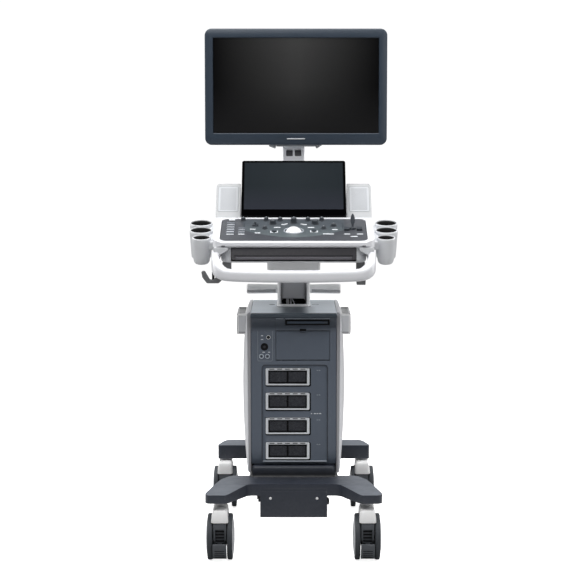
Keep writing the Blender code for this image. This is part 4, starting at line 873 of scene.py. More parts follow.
def side_tray(side, sign, low, high, looks):
    """A shallow storage box: rounded walls, a framed grey panel on its front, a pale floor and dark slots."""
    outline = rect(low.x, high.x, low.y, high.y, 0.0040, 6)
    rings = []
    for z, shrink in ((low.z, 0.0030), (low.z + 0.0010, 0.0010), (low.z + 0.0035, 0.0), (high.z - 0.0010, 0.0),
                      (high.z, 0.0008), (high.z, 0.0025), (high.z - 0.0008, 0.0033), (low.z + 0.0390, 0.0035)):
        rings.append([(x, y, z) for x, y in inset(outline, shrink)])
    piece(f"tray_shell_{side}", loft(rings), looks["pale"], "base", [f"side_tray_{side}"], sharp=50)
    x0, x1 = sorted((sign * 0.1335, sign * 0.1538))
    front = rect(x0, x1, low.z + 0.0075, high.z - 0.0040, 0.0020)
    piece(f"tray_front_panel_{side}", moved(pillow(front, -0.001, 0.0004, 0.0003), front_plane(low.y)), looks["cup"],
          "base")
    foot = rect(x0, x1, low.z + 0.0040, low.z + 0.0080, 0.0012)
    x2, x3 = sorted((sign * 0.1572, sign * 0.1580))
    edge = rect(x2, x3, low.z + 0.0040, high.z - 0.0080, 0.0003)
    lines = [moved(pillow(shape, -0.001, 0.0005, 0.0002), front_plane(low.y)) for shape in (foot, edge)]
    piece(f"tray_front_lines_{side}", merge(*lines), looks["rim"], "base")
    slots = [box((min(sign * 0.1365, sign * 0.1560), high.y - 0.0064, high.z - 0.0030),
                 (max(sign * 0.1365, sign * 0.1560), high.y - 0.0034, high.z - 0.0006)),
             box((min(sign * 0.1540, sign * 0.1584), low.y + 0.0006, high.z - 0.0016),
                 (max(sign * 0.1540, sign * 0.1584), low.y + 0.0034, high.z + 0.0003))]
    piece(f"tray_slots_{side}", merge(*slots), looks["dark"], "base", bevel=0.0004)
    outer_x = high.x if sign > 0 else low.x
    panel = rect(low.y + 0.012, high.y - 0.012, low.z + 0.008, high.z - 0.009, 0.004)
    place = basis((outer_x, 0, 0), Y_AXIS, Z_AXIS, X_AXIS) if sign > 0 else basis((outer_x, 0, 0), Y_AXIS, Z_AXIS, -X_AXIS)
    piece(f"tray_side_panel_{side}", moved(pillow(panel, -0.001, 0.0007, 0.0005), place), looks["shell_inset"], "base")
    mat = rect(low.x + 0.0036, high.x - 0.0036, low.y + 0.0040, high.y - 0.0040, 0.003)
    piece(f"tray_mat_{side}", pillow(mat, low.z + 0.0380, low.z + 0.0396, 0.0006), looks["pale"], "base")


def rear_cover(looks):
    """The back panel with its fan grille, vent slots, hinge-side screws and a data panel with four sockets."""
    low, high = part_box("rear_cover")
    panel = moved(pillow(rect(low.x, high.x, low.z, high.z, 0.0048), 0.0, high.y - low.y, 0.004),
                  basis((0, low.y, 0), X_AXIS, Z_AXIS, -Y_AXIS) @ Matrix.Diagonal((1, 1, -1, 1)))
    hollow = box((low.x + 0.004, 0.140, low.z + 0.004), (high.x - 0.004, high.y - 0.004, high.z - 0.004))
    tools = []
    centre = (0.0, 0.0, 0.530)
    for ring in range(3):
        radius = 0.0150 + 0.0105 * ring
        for k in range(6):
            arc = []
            for turn in [math.radians(60 * k + 6 + 48 * s / 8) for s in range(9)]:
                arc.append((math.cos(turn), math.sin(turn)))
            outline = [(c * (radius + 0.0034), centre[2] + s * (radius + 0.0034)) for c, s in arc]
            outline += [(c * (radius - 0.0034), centre[2] + s * (radius - 0.0034)) for c, s in reversed(arc)]
            tools.append(prism(outline, "Y", 0.150, 0.190))
    for k in range(7):
        z = 0.270 + 0.022 * k
        tools.append(prism(rect(-0.075, 0.075, z, z + 0.008, 0.0035), "Y", 0.150, 0.190))
    piece("rear_casing", cut(panel, hollow, merge(*tools)), looks["body"], "base", ["rear_cover"], sharp=15)
    ring = turned([(0.0425, 0.0), (0.0432, 0.0014), (0.0455, 0.0020), (0.0478, 0.0014), (0.0485, 0.0)], "Z", steps=80,
                  ring=True)
    piece("fan_ring", moved(ring, basis((0, high.y - 0.0002, 0.530), -X_AXIS, Z_AXIS, Y_AXIS)), looks["lip"], "base")
    screws = []
    for x in (-0.106, 0.106):
        for z in (0.236, 0.432, 0.626):
            screws.append(moved(screw_head((x, 0.0, z), 0.0032), Matrix.Diagonal((1, -1, 1, 1))))
    piece("rear_screws", moved(merge(*screws), Matrix.Translation((0, high.y - 0.0002, 0))), looks["steel"], "base")
    inlet = [box((-0.032, high.y - 0.001, 0.2315), (0.032, high.y + 0.0012, 0.2590))]
    piece("data_panel", merge(*inlet), looks["sheet"], "base", bevel=0.0006)
    sockets = [box((-0.026 + 0.0145 * k, high.y + 0.0002, 0.2380), (-0.0165 + 0.0145 * k, high.y + 0.0016, 0.2520))
               for k in range(4)]
    piece("data_sockets", merge(*sockets), looks["black"], "base", bevel=0.0003)


def port_panel(looks):
    """The recessed panel that carries the four probe ports."""
    low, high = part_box("port_panel")
    plate = rect(low.x, high.x, low.z, high.z, 0.0055)
    slab = moved(pillow(plate, 0.0, high.y - low.y, 0.0006), front_plane(high.y))
    tools = []
    for k in range(1, 5):
        a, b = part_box(f"probe_port_{k}")
        tools.append(prism(rect(a.x - 0.0008, b.x + 0.0008, a.z - 0.0008, b.z + 0.0008, 0.0035), "Y", -0.16, -0.13))
    piece("port_plate", cut(slab, *tools), looks["body"], "base", ["port_panel"], bevel=0.0004)
    for k in range(1, 5):
        probe_port(k, looks)
    port_marks(looks)


def probe_port(number, looks):
    """One probe socket: silver frame, dashed latch bar, and a black block of contact blades around a centre pin."""
    low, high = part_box(f"probe_port_{number}")
    x0, x1 = low.x + PORT_SIDE, high.x - PORT_SIDE
    z0, z1 = low.z + PORT_FLOOR, high.z - PORT_HEAD
    frame_block = box((low.x, low.y, low.z), (high.x, low.y + 0.010, high.z))
    soften(frame_block, 0.0030, 4, 0.5, lambda e: abs(e.verts[0].co.y - e.verts[1].co.y) > 0.005)
    frame_block = cut(frame_block, prism(rect(x0, x1, z0, z1, 0.0012), "Y", -0.17, -0.13),
                      box((x0 - 0.0005, low.y - 0.01, z1 - 0.001), (x1 + 0.0005, low.y + 0.0016, high.z + 0.01)))
    piece(f"port_frame_{number}", frame_block, looks["bright"], "base", [f"probe_port_{number}"], bevel=0.0006)
    # Painted shadow: a black strip that shows beside the frame's right and lower edges.
    shadow = frame_strip(rect(low.x - 0.0008, high.x + 0.0038, low.z - 0.0044, high.z + 0.0004, 0.0045), -0.1498, 0.0044, 0.002)
    piece(f"port_shadow_gap_{number}", shadow, looks["black"], "base")
    bar = box((x0, low.y + 0.0012, z1 - 0.0002), (x1, low.y + 0.0085, high.z - 0.0006))
    piece(f"port_latch_bar_{number}", bar, looks["silver"], "base", bevel=0.0005)
    dash = (x1 - x0) / 5
    dashes = [box((x0 + dash * (k + 0.16), low.y + 0.0006, z1 + 0.0022), (x0 + dash * (k + 0.80), low.y + 0.003, z1 + 0.0046))
              for k in range(5)]
    piece(f"port_latch_slots_{number}", merge(*dashes), looks["groove"], "base", bevel=0.0003)
    back = box((x0 - 0.001, low.y + 0.0065, z0 - 0.001), (x1 + 0.001, low.y + 0.009, z1 + 0.001))
    piece(f"port_backing_{number}", back, looks["black"], "base")
    blades = []
    count = 38
    pitch = (x1 - x0 - 0.008) / count
    middle = (x0 + x1) / 2
    for k in range(count):
        x = x0 + 0.004 + pitch * (k + 0.5)
        if abs(x - middle) < 0.0027:
            continue
        blades.append(box((x - 0.28 * pitch, low.y + 0.0045, z0 + 0.0045), (x + 0.28 * pitch, low.y + 0.007, z1 - 0.0045)))
    piece(f"port_blades_{number}", merge(*blades), looks["contact"], "base")
    lip = frame_strip(rect(x0 + 0.0002, x1 - 0.0002, z0 + 0.0002, z1 - 0.0002, 0.001), low.y + 0.0028, 0.0026, 0.0045)
    piece(f"port_lip_{number}", lip, looks["black"], "base")
    pin = turned([(0.0, 0.0), (0.0034, 0.0), (0.0034, 0.0030), (0.0024, 0.0042), (0.0, 0.0044)], "Z", steps=28)
    piece(f"port_pin_{number}", moved(pin, basis((middle, low.y + 0.0068, (z0 + z1) / 2), X_AXIS, Z_AXIS, -Y_AXIS)),
          looks["black"], "base")


def port_marks(looks):
    """Small blank marks beside the ports: two dots for each port and a row between the second and third."""
    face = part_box("port_panel")[0].y
    marks = []
    for k in range(1, 5):
        low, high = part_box(f"probe_port_{k}")
        top = high.z - 0.0065
        marks += [mark_plate(0.0655, top, 0.0020, 0.0022, face), mark_plate(0.0715, top, 0.0024, 0.0022, face)]
    between = (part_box("probe_port_2")[0].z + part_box("probe_port_3")[1].z) / 2
    row = [mark_plate(x, between, w, 0.0022, face) for x, w in ((0.0495, 0.0016), (0.0590, 0.0030), (0.0660, 0.0024),
                                                                 (0.0735, 0.0030))]
    piece("port_row_marks", merge(*row), looks["mark"], "base")
    piece("port_marks", merge(*marks), looks["faint_mark"], "base")


def mark_plate(x, z, half_x, half_z, face, raised=0.0002):
    """A thin printed patch on a face that looks to the front."""
    outline = rect(x - half_x, x + half_x, z - half_z / 2, z + half_z / 2, min(half_x, half_z / 2) * 0.8, 3)
    return moved(pillow(outline, -0.0003, raised, 0.0001, 1), front_plane(face))


def input_panel(looks):
    """The signal inputs left of the bay: an outlined field with a jack, a large socket and two round sockets."""
    face = -0.1525
    outline = frame_strip(rect(-0.1000, -0.0585, 0.5150, 0.6075, 0.004), face - 0.0004, 0.0010, 0.0010)
    piece("input_outline", outline, looks["faint_mark"], "base")
    rims, wells, pins = [], [], []
    for x, z, radius in ((-0.0700, 0.5815, 0.0058), (-0.0810, 0.5550, 0.0104), (-0.0892, 0.5285, 0.0064),
                         (-0.0728, 0.5285, 0.0064)):
        place = basis((x, face, z), X_AXIS, Z_AXIS, -Y_AXIS)
        ring = [(radius * 0.80, -0.002), (radius * 0.80, 0.0006), (radius * 0.86, 0.0010), (radius * 0.96, 0.0009), (radius, 0.0003),
                (radius, -0.002)]
        rims.append(moved(turned(ring, "Z", steps=48, ring=True), place))
        cup = [(0.0, -0.0004), (radius * 0.82, -0.0004), (radius * 0.82, 0.0004), (0.0, 0.0005)]
        wells.append(moved(turned(cup, "Z", steps=48), place))
        pin = [(0.0, 0.0), (radius * 0.34, 0.0), (radius * 0.34, 0.0008), (radius * 0.26, 0.0012), (0.0, 0.0013)]
        pins.append(moved(turned(pin, "Z", steps=24), place))
    jack = rims.pop(0)
    piece("input_jack_ring", jack, looks["pale"], "base")
    big = rims.pop(0)
    piece("input_socket_ring", big, looks["black"], "base")
    piece("input_rings", merge(*rims), looks["top"], "base")
    small = merge(*wells[2:])
    piece("input_wells", merge(*wells[:2]), looks["black"], "base")
    piece("input_well_faces", small, looks["body"], "base")
    piece("input_pins", merge(*pins), looks["groove"], "base")
    field = []
    for x, z, w in ((-0.0855, 0.5985, 0.0030), (-0.0770, 0.5975, 0.0055), (-0.0650, 0.5985, 0.0018), (-0.0875, 0.5860, 0.0030),
                    (-0.0875, 0.5755, 0.0035), (-0.0830, 0.5400, 0.0035), (-0.0680, 0.5400, 0.0030)):
        field.append(mark_plate(x, z, w, 0.0022, face))
    piece("input_marks", merge(*field), looks["mark"], "base")


def drive_and_bay(looks):
    """The drive's bezel in its slot, and the bay door below with its finger notch."""
    low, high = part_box("drive_tray")
    front = low.y
    bezel = moved(pillow(rect(low.x, high.x, low.z, high.z, 0.0012), 0.0, 0.0068, 0.0012), front_plane(front + 0.0068))
    tray = box((low.x + 0.0022, front + 0.006, low.z + 0.0005), (high.x - 0.0027, high.y, low.z + 0.0070))
    tray = cut(tray, turned([(0.0, -0.1), (0.0583, -0.1), (0.0583, 0.1), (0.0, 0.1)], "Z", (0.0375, -0.1110, 0.6235 + 0.1), 64))
    piece("drive_bezel", bezel, looks["black"], "drive_tray", ["drive_tray"])
    piece("drive_sled", tray, looks["black"], "drive_tray", bevel=0.0004)
    line = box((low.x + 0.005, front - 0.0002, low.z + 0.0048), (high.x - 0.005, front + 0.001, low.z + 0.0108))
    piece("drive_bezel_line", line, looks["bezel"], "drive_tray", bevel=0.0002)
    button = moved(pillow(rect(high.x - 0.014, high.x - 0.007, low.z + 0.0060, low.z + 0.0092, 0.0012), 0.0, 0.0010, 0.0004),
                   front_plane(front))
    piece("drive_button", button, looks["dark"], "drive_tray")
    low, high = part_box("bay_door")
    door = moved(pillow(rect(low.x, high.x, low.z, high.z, 0.0018), 0.0, high.y - low.y, 0.0008), front_plane(high.y))
    notch = prism(rect(0.0165, 0.0345, 0.5935, 0.6100, 0.0015), "Y", -0.16, -0.1497)
    piece("bay_door_panel", cut(door, notch), looks["body"], "bay_door", ["bay_door"], bevel=0.0003)
    piece("bay_backing", box((-0.0496, -0.1485, 0.5168), (0.0996, -0.1475, 0.6003)), looks["lip"], "base")
    piece("bay_notch", moved(pillow(rect(0.0168, 0.0342, 0.5990, 0.6068, 0.0014), -0.001, 0.0009, 0.0005),
                             front_plane(-0.1540)), looks["black"], "base")


# ---------------------------------------------------------------- column and lift


def column(looks):
    """The sleeve around the lift, its soft rim on the lid, and the dark opening at its foot."""
    outline = rect(-0.046, 0.046, -0.030, 0.088, 0.012, 8)
    rings = []
    for z, shrink in ((0.6535, 0.0), (0.7430, 0.0), (0.7444, 0.0005), (0.7450, 0.0016)):
        rings.append([(x, y, z) for x, y in inset(outline, shrink)])
    sleeve = cut(loft(rings), box((-0.0352, -0.0500, 0.6500), (0.0352, 0.0745, 0.7600)))
    piece("column_sleeve", sleeve, looks["pale"], "base", ["column_shroud"], bevel=0.0012)
    rings = []
    for z, shrink in ((0.6524, 0.0006), (0.6534, 0.0), (0.6562, 0.0), (0.6582, 0.0010), (0.6595, 0.0028), (0.6600, 0.0052)):
        rings.append([(x, y, z) for x, y in inset(rect(-0.0478, 0.0478, -0.0370, 0.092, 0.024, 10), shrink)])
    foot = cut(loft(rings), prism(rect(-0.0352, 0.0352, -0.0305, 0.0745, 0.014), "Z", 0.640, 0.680))
    piece("column_foot", foot, looks["pale"], "base", bevel=0.0008)
    # Painted shade: a darker plate on the lid around the column's foot.
    shade = rect(-0.0486, 0.0486, -0.0382, 0.0930, 0.024, 8)
    piece("column_gasket", pillow(shade, 0.6512, 0.6524, 0.0006), looks["lip"], "base")
    cheeks = []
    for sign in (-1, 1):
        xs = sorted((sign * 0.0358, sign * 0.0374))
        cheeks.append(box((xs[0], -0.0306, 0.6602), (xs[1], -0.0290, 0.7440)))
    piece("column_seams", merge(*cheeks), looks["rim"], "base", bevel=0.0004)
    strips = [box((-0.0215, -0.0040, 0.6540), (-0.0130, -0.0020, 0.6727)), box((-0.0105, -0.0040, 0.6540), (-0.0060, -0.0020, 0.6727))]
    piece("lift_rails", merge(*strips), looks["mast"], "base", bevel=0.0003)
    path = smooth([(-0.0050, -0.0070, 0.6727), (-0.0020, -0.0085, 0.6670), (0.0012, -0.0095, 0.6605), (0.0020, -0.0100, 0.6545)], 6)
    piece("lift_cable", tube(path, 0.0014), looks["silver"], "base")
    floor = rect(-0.0345, 0.0345, -0.0300, 0.0040, 0.010)
    piece("opening_floor", pillow(floor, 0.6515, 0.6530, 0.0004), looks["black"], "base")


def rear_handle(looks):
    """The cross bar behind the column: a soft bar with a dark finger groove along each side, on two lugs."""
    centre = (0.0, 0.1080, 0.6890)
    profile = [(0.0, -0.1366), (0.0100, -0.1366), (0.0128, -0.1357), (0.0141, -0.1338), (0.0145, -0.1310), (0.0143, -0.1150),
               (0.0136, -0.0800), (0.0128, -0.0500), (0.0126, -0.0300)]
    bar = turned(profile + [(r, -d) for r, d in reversed(profile)], "X", centre, 56)
    grooves = []
    inlays = []
    for sign in (-1, 1):
        band = [(sign * 0.1345, 0.6868), (sign * 0.0520, 0.6890), (sign * 0.0520, 0.6800), (sign * 0.1345, 0.6790)]
        band = band if sign > 0 else band[::-1]
        grooves.append(prism(band, "Y", 0.080, 0.0985))
        inlays.append(prism(inset(band[::-1], 0.0002), "Y", 0.0972, 0.1020))
    piece("rear_bar", cut(bar, *grooves), looks["pale"], "base", ["rear_handle"], sharp=40)
    piece("rear_bar_grooves", merge(*inlays), looks["band"], "base")
    lugs = []
    for x in (-0.038, 0.038):
        lug = prism(rounded([(0.0850, 0.6760), (0.1060, 0.6800), (0.1100, 0.6890), (0.1060, 0.6980), (0.0850, 0.7020)], 0.003, 4),
                    "X", x - 0.0052, x + 0.0052)
        lugs.append(lug)
    piece("rear_bar_lugs", merge(*lugs), looks["silver"], "base", bevel=0.0012)


def mast(looks):
    """The rising mast: a dark post, its fluted front cover and the head plate that carries the console."""
    post = box((-0.029, 0.002, 0.4000), (0.029, 0.058, 0.7800))
    post = cut(post, box((-0.025, 0.006, 0.390), (0.025, 0.054, 0.775)))
    piece("mast_post", post, looks["black"], "mast", ["lift_mast"], bevel=0.0012)
    outline = rect(-0.0338, 0.0338, -0.0140, 0.0030, 0.0030, 6)
    rings = []
    for z, shrink in ((0.6735, 0.0018), (0.6741, 0.0004), (0.6755, 0.0), (0.7795, 0.0)):
        rings.append([(x, y, z) for x, y in inset(outline, shrink)])
    piece("mast_cover", loft(rings), looks["mast"], "mast", sharp=50)
    lines = []
    for x in (-0.0316, -0.0290, 0.0290, 0.0316):
        lines.append(box((x - 0.0004, -0.0143, 0.6760), (x + 0.0004, -0.0135, 0.7790)))
    piece("mast_lines", merge(*lines), looks["rim"], "mast", bevel=0.0002)
    rings = []
    for z, shrink in ((0.7570, 0.0035), (0.7575, 0.0018), (0.7590, 0.0005), (0.7610, 0.0), (0.7935, 0.0), (0.7955, 0.0008),
                      (0.7966, 0.0022), (0.7970, 0.0045)):
        rings.append([(x, y, z) for x, y in inset(rect(-0.075, 0.075, -0.045, 0.105, 0.010, 8), shrink)])
    piece("mast_head", loft(rings), looks["pale"], "mast", sharp=50)


# ---------------------------------------------------------------- console

DECK = Matrix.Translation((0.0, -0.300, 0.857)) @ Matrix.Rotation(math.atan(0.25), 4, "X")
DECK_TOP = 0.0008
PRESSED_KEYS = {"power": (-0.1705, 0.1870, 0.0088, 0.0053), "freeze": (0.1790, 0.1050, 0.0074, 0.0098),
                "print": (0.1445, 0.1050, 0.0074, 0.0098)}
KEY_GAP = 0.0004
CONSOLE_KNOBS = (("center_knob", 0.0, 0.1640, 0.0092, 0.0150), ("knob_left", -0.0575, 0.1550, 0.0096, 0.0110),
                 ("knob_right", 0.0585, 0.1550, 0.0096, 0.0110))
FIXED_KNOBS = ((-0.1390, 0.1845, 0.0072, 0.0090), (-0.0760, 0.1850, 0.0072, 0.0090), (-0.0375, 0.1840, 0.0072, 0.0090),
               (0.0390, 0.1840, 0.0072, 0.0090), (0.0770, 0.1850, 0.0072, 0.0090), (-0.0790, 0.1130, 0.0068, 0.0070),
               (0.0815, 0.1130, 0.0068, 0.0070), (0.1090, 0.1340, 0.0078, 0.0080))


def rounded_slab(section, plan, half_x):
    """The solid that has this section seen from the side and this outline seen from above."""
    return boolean(prism(section, "X", -half_x, half_x), "INTERSECT", [prism(plan, "Z", 0.70, 1.10)])


def console_shell(looks):
    """The console body: softly rounded section and plan, with the deck's seat cut into its slope."""
    section = rounded([(0.200, 0.8425), (0.200, 0.910), (0.185, 0.925), (0.070, 0.925), (0.020, 0.893), (-0.0945, 0.893),
                       (-0.0955, 0.9096), (-0.2990, 0.8590), (-0.3045, 0.8560), (-0.3040, 0.8470), (-0.2960, 0.8425)][::-1],
                      [0.003, 0.004, 0.005, 0.005, 0.0015, 0.001, 0.008, 0.008, 0.006, 0.008, 0.004], 6)
    plan = rounded([(0.2165, -0.3045), (0.2165, 0.200), (-0.2165, 0.200), (-0.2165, -0.3045)][::1],
                   [0.030, 0.040, 0.040, 0.030], 14)
    shell = rounded_slab(section, plan, 0.230)
    seat = moved(prism(rect(-0.1985, 0.1985, 0.0052, 0.1985, 0.021, 10), "Z", -0.0040, 0.030), DECK)
    shell = cut(shell, seat)
    piece("console_body", shell, looks["shell"], "console", ["console_shell"], bevel=0.0022)
    ears = []
    for sign in (-1, 1):
        low, high = sorted((sign * 0.0665, sign * 0.0780))
        ears.append(prism(rounded([(-0.0800, 0.8910), (-0.0660, 0.8910), (-0.0660, 0.9080), (-0.0800, 0.9080)],
                                  [0.001, 0.001, 0.0060, 0.0060], 8), "X", low, high))
    piece("touch_ears", merge(*ears), looks["dark"], "console", bevel=0.0008)
    dots = []
    for sign in (-1, 1):
        low, high = sorted((sign * 0.1830, sign * 0.1925))
        dots.append(box((low, -0.3043, 0.8452), (high, -0.2950, 0.8480)))
    piece("console_corner_slots", merge(*dots), looks["dark"], "console", bevel=0.0006)
    seam = frame_band(rounded([(0.2168, -0.2700), (0.2168, 0.2003), (-0.2168, 0.2003), (-0.2168, -0.2700)], [0.001, 0.040, 0.040, 0.001], 12),
                      0.8640, 0.8652)
    piece("console_seam", seam, looks["rim"], "console")


def frame_band(outline, low, high, wall=0.0012):
    """A thin horizontal band around an outline in X and Y."""
    inner = inset(outline, wall)
    return loft([[(x, y, low) for x, y in outline], [(x, y, high) for x, y in outline], [(x, y, high) for x, y in inner],
                 [(x, y, low) for x, y in inner]], closed=True)


def speaker_wing(side, sign, looks):
    """The raised speaker housing beside the touch panel, with a framed, finely slotted front."""
    section = rounded([(-0.070, 0.885), (0.0275, 0.9955), (0.0330, 0.9975), (0.040, 0.995), (0.085, 0.923), (0.085, 0.885)],
                      [0.001, 0.006, 0.003, 0.006, 0.010, 0.001], 6)
    inner, outer = sorted((sign * 0.1500, sign * 0.2190))
    left, right = (inner, outer)
    face = [(left, 0.880), (right, 0.880), (right, 0.9980), (left, 0.9980)]
    radii = [0.001, 0.001, 0.011, 0.004] if sign > 0 else [0.001, 0.001, 0.004, 0.011]
    wing = boolean(prism(section, "X", left, right), "INTERSECT", [prism(rounded(face, radii, 8), "Y", -0.20, 0.20)])
    piece(f"speaker_wing_{side}", wing, looks["wing"], "console", bevel=0.0028)
    up = Vector((0.0, 0.0975, 0.1105)).normalized()
    place = basis((0.0, -0.070, 0.885), X_AXIS, up, X_AXIS.cross(up))
    x0, x1 = sorted((sign * 0.1570, sign * 0.2128))
    panel = rect(x0, x1, 0.0500, 0.1385, 0.004)
    piece(f"speaker_panel_{side}", moved(pillow(panel, -0.001, 0.0006, 0.0004), place), looks["wing_inset"], "console")
    groove = inset(panel, -0.0011)
    groove_ring = loft([[(u, v, -0.001) for u, v in groove], [(u, v, 0.0003) for u, v in groove],
                        [(u, v, 0.0003) for u, v in panel], [(u, v, -0.001) for u, v in panel]], closed=True)
    piece(f"speaker_groove_{side}", moved(groove_ring, place), looks["fine_line"], "console")
    lines = [box((x0 + 0.006, 0.0565 + 0.0037 * k, 0.0004), (x1 - 0.006, 0.0574 + 0.0037 * k, 0.0009)) for k in range(21)]
    piece(f"speaker_slots_{side}", moved(merge(*lines), place), looks["fine_line"], "console")


def console_tub(looks):
    """The tub under the console: grey inner cheeks beside the drawer, their grey a painted shade on the shell's white,
    a rounded floor and the turntable disc.
    """
    plan = rounded([(0.195, -0.290), (0.195, 0.185), (-0.195, 0.185), (-0.195, -0.290)], [0.030, 0.030, 0.030, 0.030], 12)
    rings = []
    for z, shrink in ((0.8005, 0.0090), (0.8012, 0.0055), (0.8028, 0.0026), (0.8055, 0.0008), (0.8090, 0.0), (0.8424, 0.0)):
        rings.append([(x, y, z) for x, y in inset(plan, shrink)])
    tub = cut(loft(rings), box((-0.1675, -0.300, 0.8050), (0.1675, -0.0850, 0.8500)),
              box((-0.1875, -0.0800, 0.8060), (0.1875, 0.1550, 0.8500)))
    piece("console_tub", tub, looks["cheek"], "console", ["console_lower_shell"], bevel=0.0015)
    disc = [(0.0, 0.7974), (0.0520, 0.7974), (0.0545, 0.7982), (0.0550, 0.7992), (0.0550, 0.8020), (0.0, 0.8020)]
    piece("turntable_disc", turned(disc, "Z", (0.0, 0.030, 0.0), 72), looks["steel"], "console")
    # Painted shadow: a black plate between the drawer's top and the console above it.
    shadow = box((-0.1672, -0.2860, 0.8412), (0.1672, -0.0860, 0.8424))
    piece("drawer_roof", shadow, looks["black"], "console")


def handle_path():
    left = [((-0.2062, -0.175, 0.8230), 0.0095, 0.0170), ((-0.2062, -0.240, 0.8230), 0.0095, 0.0175),
            ((-0.2080, -0.286, 0.8170), 0.0106, 0.0185), ((-0.2075, -0.311, 0.8035), 0.0112, 0.0185),
            ((-0.2010, -0.3355, 0.7880), 0.0140, 0.0175), ((-0.1850, -0.3515, 0.7770), 0.0165, 0.0165),
            ((-0.1600, -0.3590, 0.7738), 0.0180, 0.0160), ((-0.1100, -0.3625, 0.7724), 0.0180, 0.0160),
            ((-0.0500, -0.3650, 0.7716), 0.0180, 0.0160)]
    knots = [(*p, w, h) for p, w, h in left]
    knots += [(-x, y, z, w, h) for x, y, z, w, h in reversed(knots)]
    return smooth(knots, 5)


def handle_ring(middle, ahead, half_width, half_height, count=32):
    side = Vector((ahead.y, -ahead.x, 0.0)).normalized()
    up = side.cross(ahead).normalized()
    up = up if up.z > 0 else -up
    ring = []
    for k in range(count):
        turn = math.tau * (k + 0.5) / count
        flat = math.copysign(abs(math.cos(turn)) ** 0.62, math.cos(turn)) * half_width
        tall = math.copysign(abs(math.sin(turn)) ** 0.62, math.sin(turn)) * half_height
        ring.append(middle + side * flat + up * tall)
    return ring


def front_handle(looks):
    """The ring handle: one smooth, softly squared bar that sweeps out and down from the console's sides."""
    knots = handle_path()
    middles = [Vector((k[0], k[1], k[2])) for k in knots]
    rings = []
    for i, knot in enumerate(knots):
        ahead = middles[min(i + 1, len(knots) - 1)] - middles[max(i - 1, 0)]
        rings.append(handle_ring(middles[i], ahead, knot[3], knot[4]))
    first, last = rings[0], rings[-1]
    for ring, middle, where in ((first, middles[0], 0), (last, middles[-1], len(rings))):
        for shrink, step in ((0.94, 0.0012), (0.80, 0.0018)):
            cap = [middle + (p - middle) * shrink + Vector((0.0, step, 0.0)) for p in ring]
            if where:
                rings.append(cap)
            else:
                rings.insert(0, cap)
    piece("ring_handle", loft(rings), looks["shell"], "console", ["front_handle"], sharp=60)
    feet = []
    for sign in (-1, 1):
        low, high = sorted((sign * 0.1935, sign * 0.2075))
        feet.append(prism(rounded([(-0.262, 0.8300), (-0.180, 0.8300), (-0.180, 0.8435), (-0.262, 0.8435)], 0.004, 4), "X", low, high))
    piece("handle_feet", merge(*feet), looks["shell"], "console", bevel=0.0015)
    # Painted shade: the shoulders take the cheeks' greyer copy of the shell's white.
    shoulders = []
    for sign in (-1, 1):
        flank = [(sign * x, z) for x, z in ((0.2140, 0.8430), (0.1730, 0.8430), (0.1760, 0.8340), (0.2010, 0.8190),
                                            (0.2140, 0.8150))]
        shoulders.append(prism(rounded(flank, 0.004, 6), "Y", -0.3025, -0.2905))
    piece("handle_shoulders", merge(*shoulders), looks["cheek"], "console", bevel=0.0030)


def knob(name, x, u, radius, height, looks, body="console", stands_for=()):
    """A rubber control knob: flared skirt, fluted grip, a hard top with a pointer."""
    foot = DECK_TOP + 0.0003
    skirt = [(0.0, foot), (radius + 0.0006, foot), (radius + 0.0008, foot + 0.0006), (radius, foot + 0.0018),
             (radius - 0.0004, foot + 0.0024), (radius - 0.0009, foot + 0.55 * height), (radius - 0.0014, foot + height - 0.0016),
             (radius - 0.0022, foot + height - 0.0004), (radius - 0.0032, foot + height), (0.0, foot + height)]
    ridges = lambda turn, r, h: r if h < foot + 0.0020 or r < radius - 0.0016 else r - 0.00035 * (1 + math.cos(20 * turn)) / 2
    place = DECK @ Matrix.Translation((x, u, 0.0))
    piece(name + "_grip", moved(turned(skirt, "Z", steps=80, wave=ridges), place), looks["knob"], body, stands_for,
          sharp=45)
    cap = [(0.0, height - 0.0010), (radius - 0.0034, height - 0.0010), (radius - 0.0034, height + 0.0004),
           (radius - 0.0040, height + 0.0008), (0.0, height + 0.0010)]
    piece(name + "_cap", moved(turned(cap, "Z", steps=40), place @ Matrix.Translation((0, 0, foot))), looks["knob_top"], body)
    pointer = box((-0.0004, 0.0006, height + 0.0004), (0.0004, radius - 0.0042, height + 0.0012))
    piece(name + "_pointer", moved(pointer, place @ Matrix.Translation((0, 0, foot))), looks["mark"], body,
          bevel=0.0001)


def console_knobs(looks):
    for name, x, u, radius, height in CONSOLE_KNOBS:
        knob(name, x, u, radius, height, looks, name, [name])
    for k, (x, u, radius, height) in enumerate(FIXED_KNOBS):
        knob(f"deck_knob_{k + 1}", x, u, radius, height, looks)
    place = DECK @ Matrix.Translation((-0.1050, 0.1400, 0.0))
    housing = pillow(rect(-0.0086, 0.0086, -0.0075, 0.0075, 0.0030), 0.0, 0.0046, 0.0014)
    piece("toggle_housing", moved(housing, place), looks["knob"], "console")
    lever = turned([(0.0, 0.0), (0.0026, 0.0), (0.0024, 0.0060), (0.0032, 0.0095), (0.0024, 0.0115), (0.0, 0.0120)], "Z", steps=28)
    piece("toggle_lever", moved(lever, place), looks["knob_top"], "console")


def deck_key(name, x, u, half_x, half_u, height, look, body="console", stands_for=(), foot=DECK_TOP, slot="knob"):
    outline = rect(x - half_x, x + half_x, u - half_u, u + half_u, min(0.0018, 0.8 * min(half_x, half_u)), 6)
    cap = pillow(outline, foot, foot + height, min(0.0009, 0.7 * height))
    piece(name, moved(cap, DECK), look, body, stands_for)


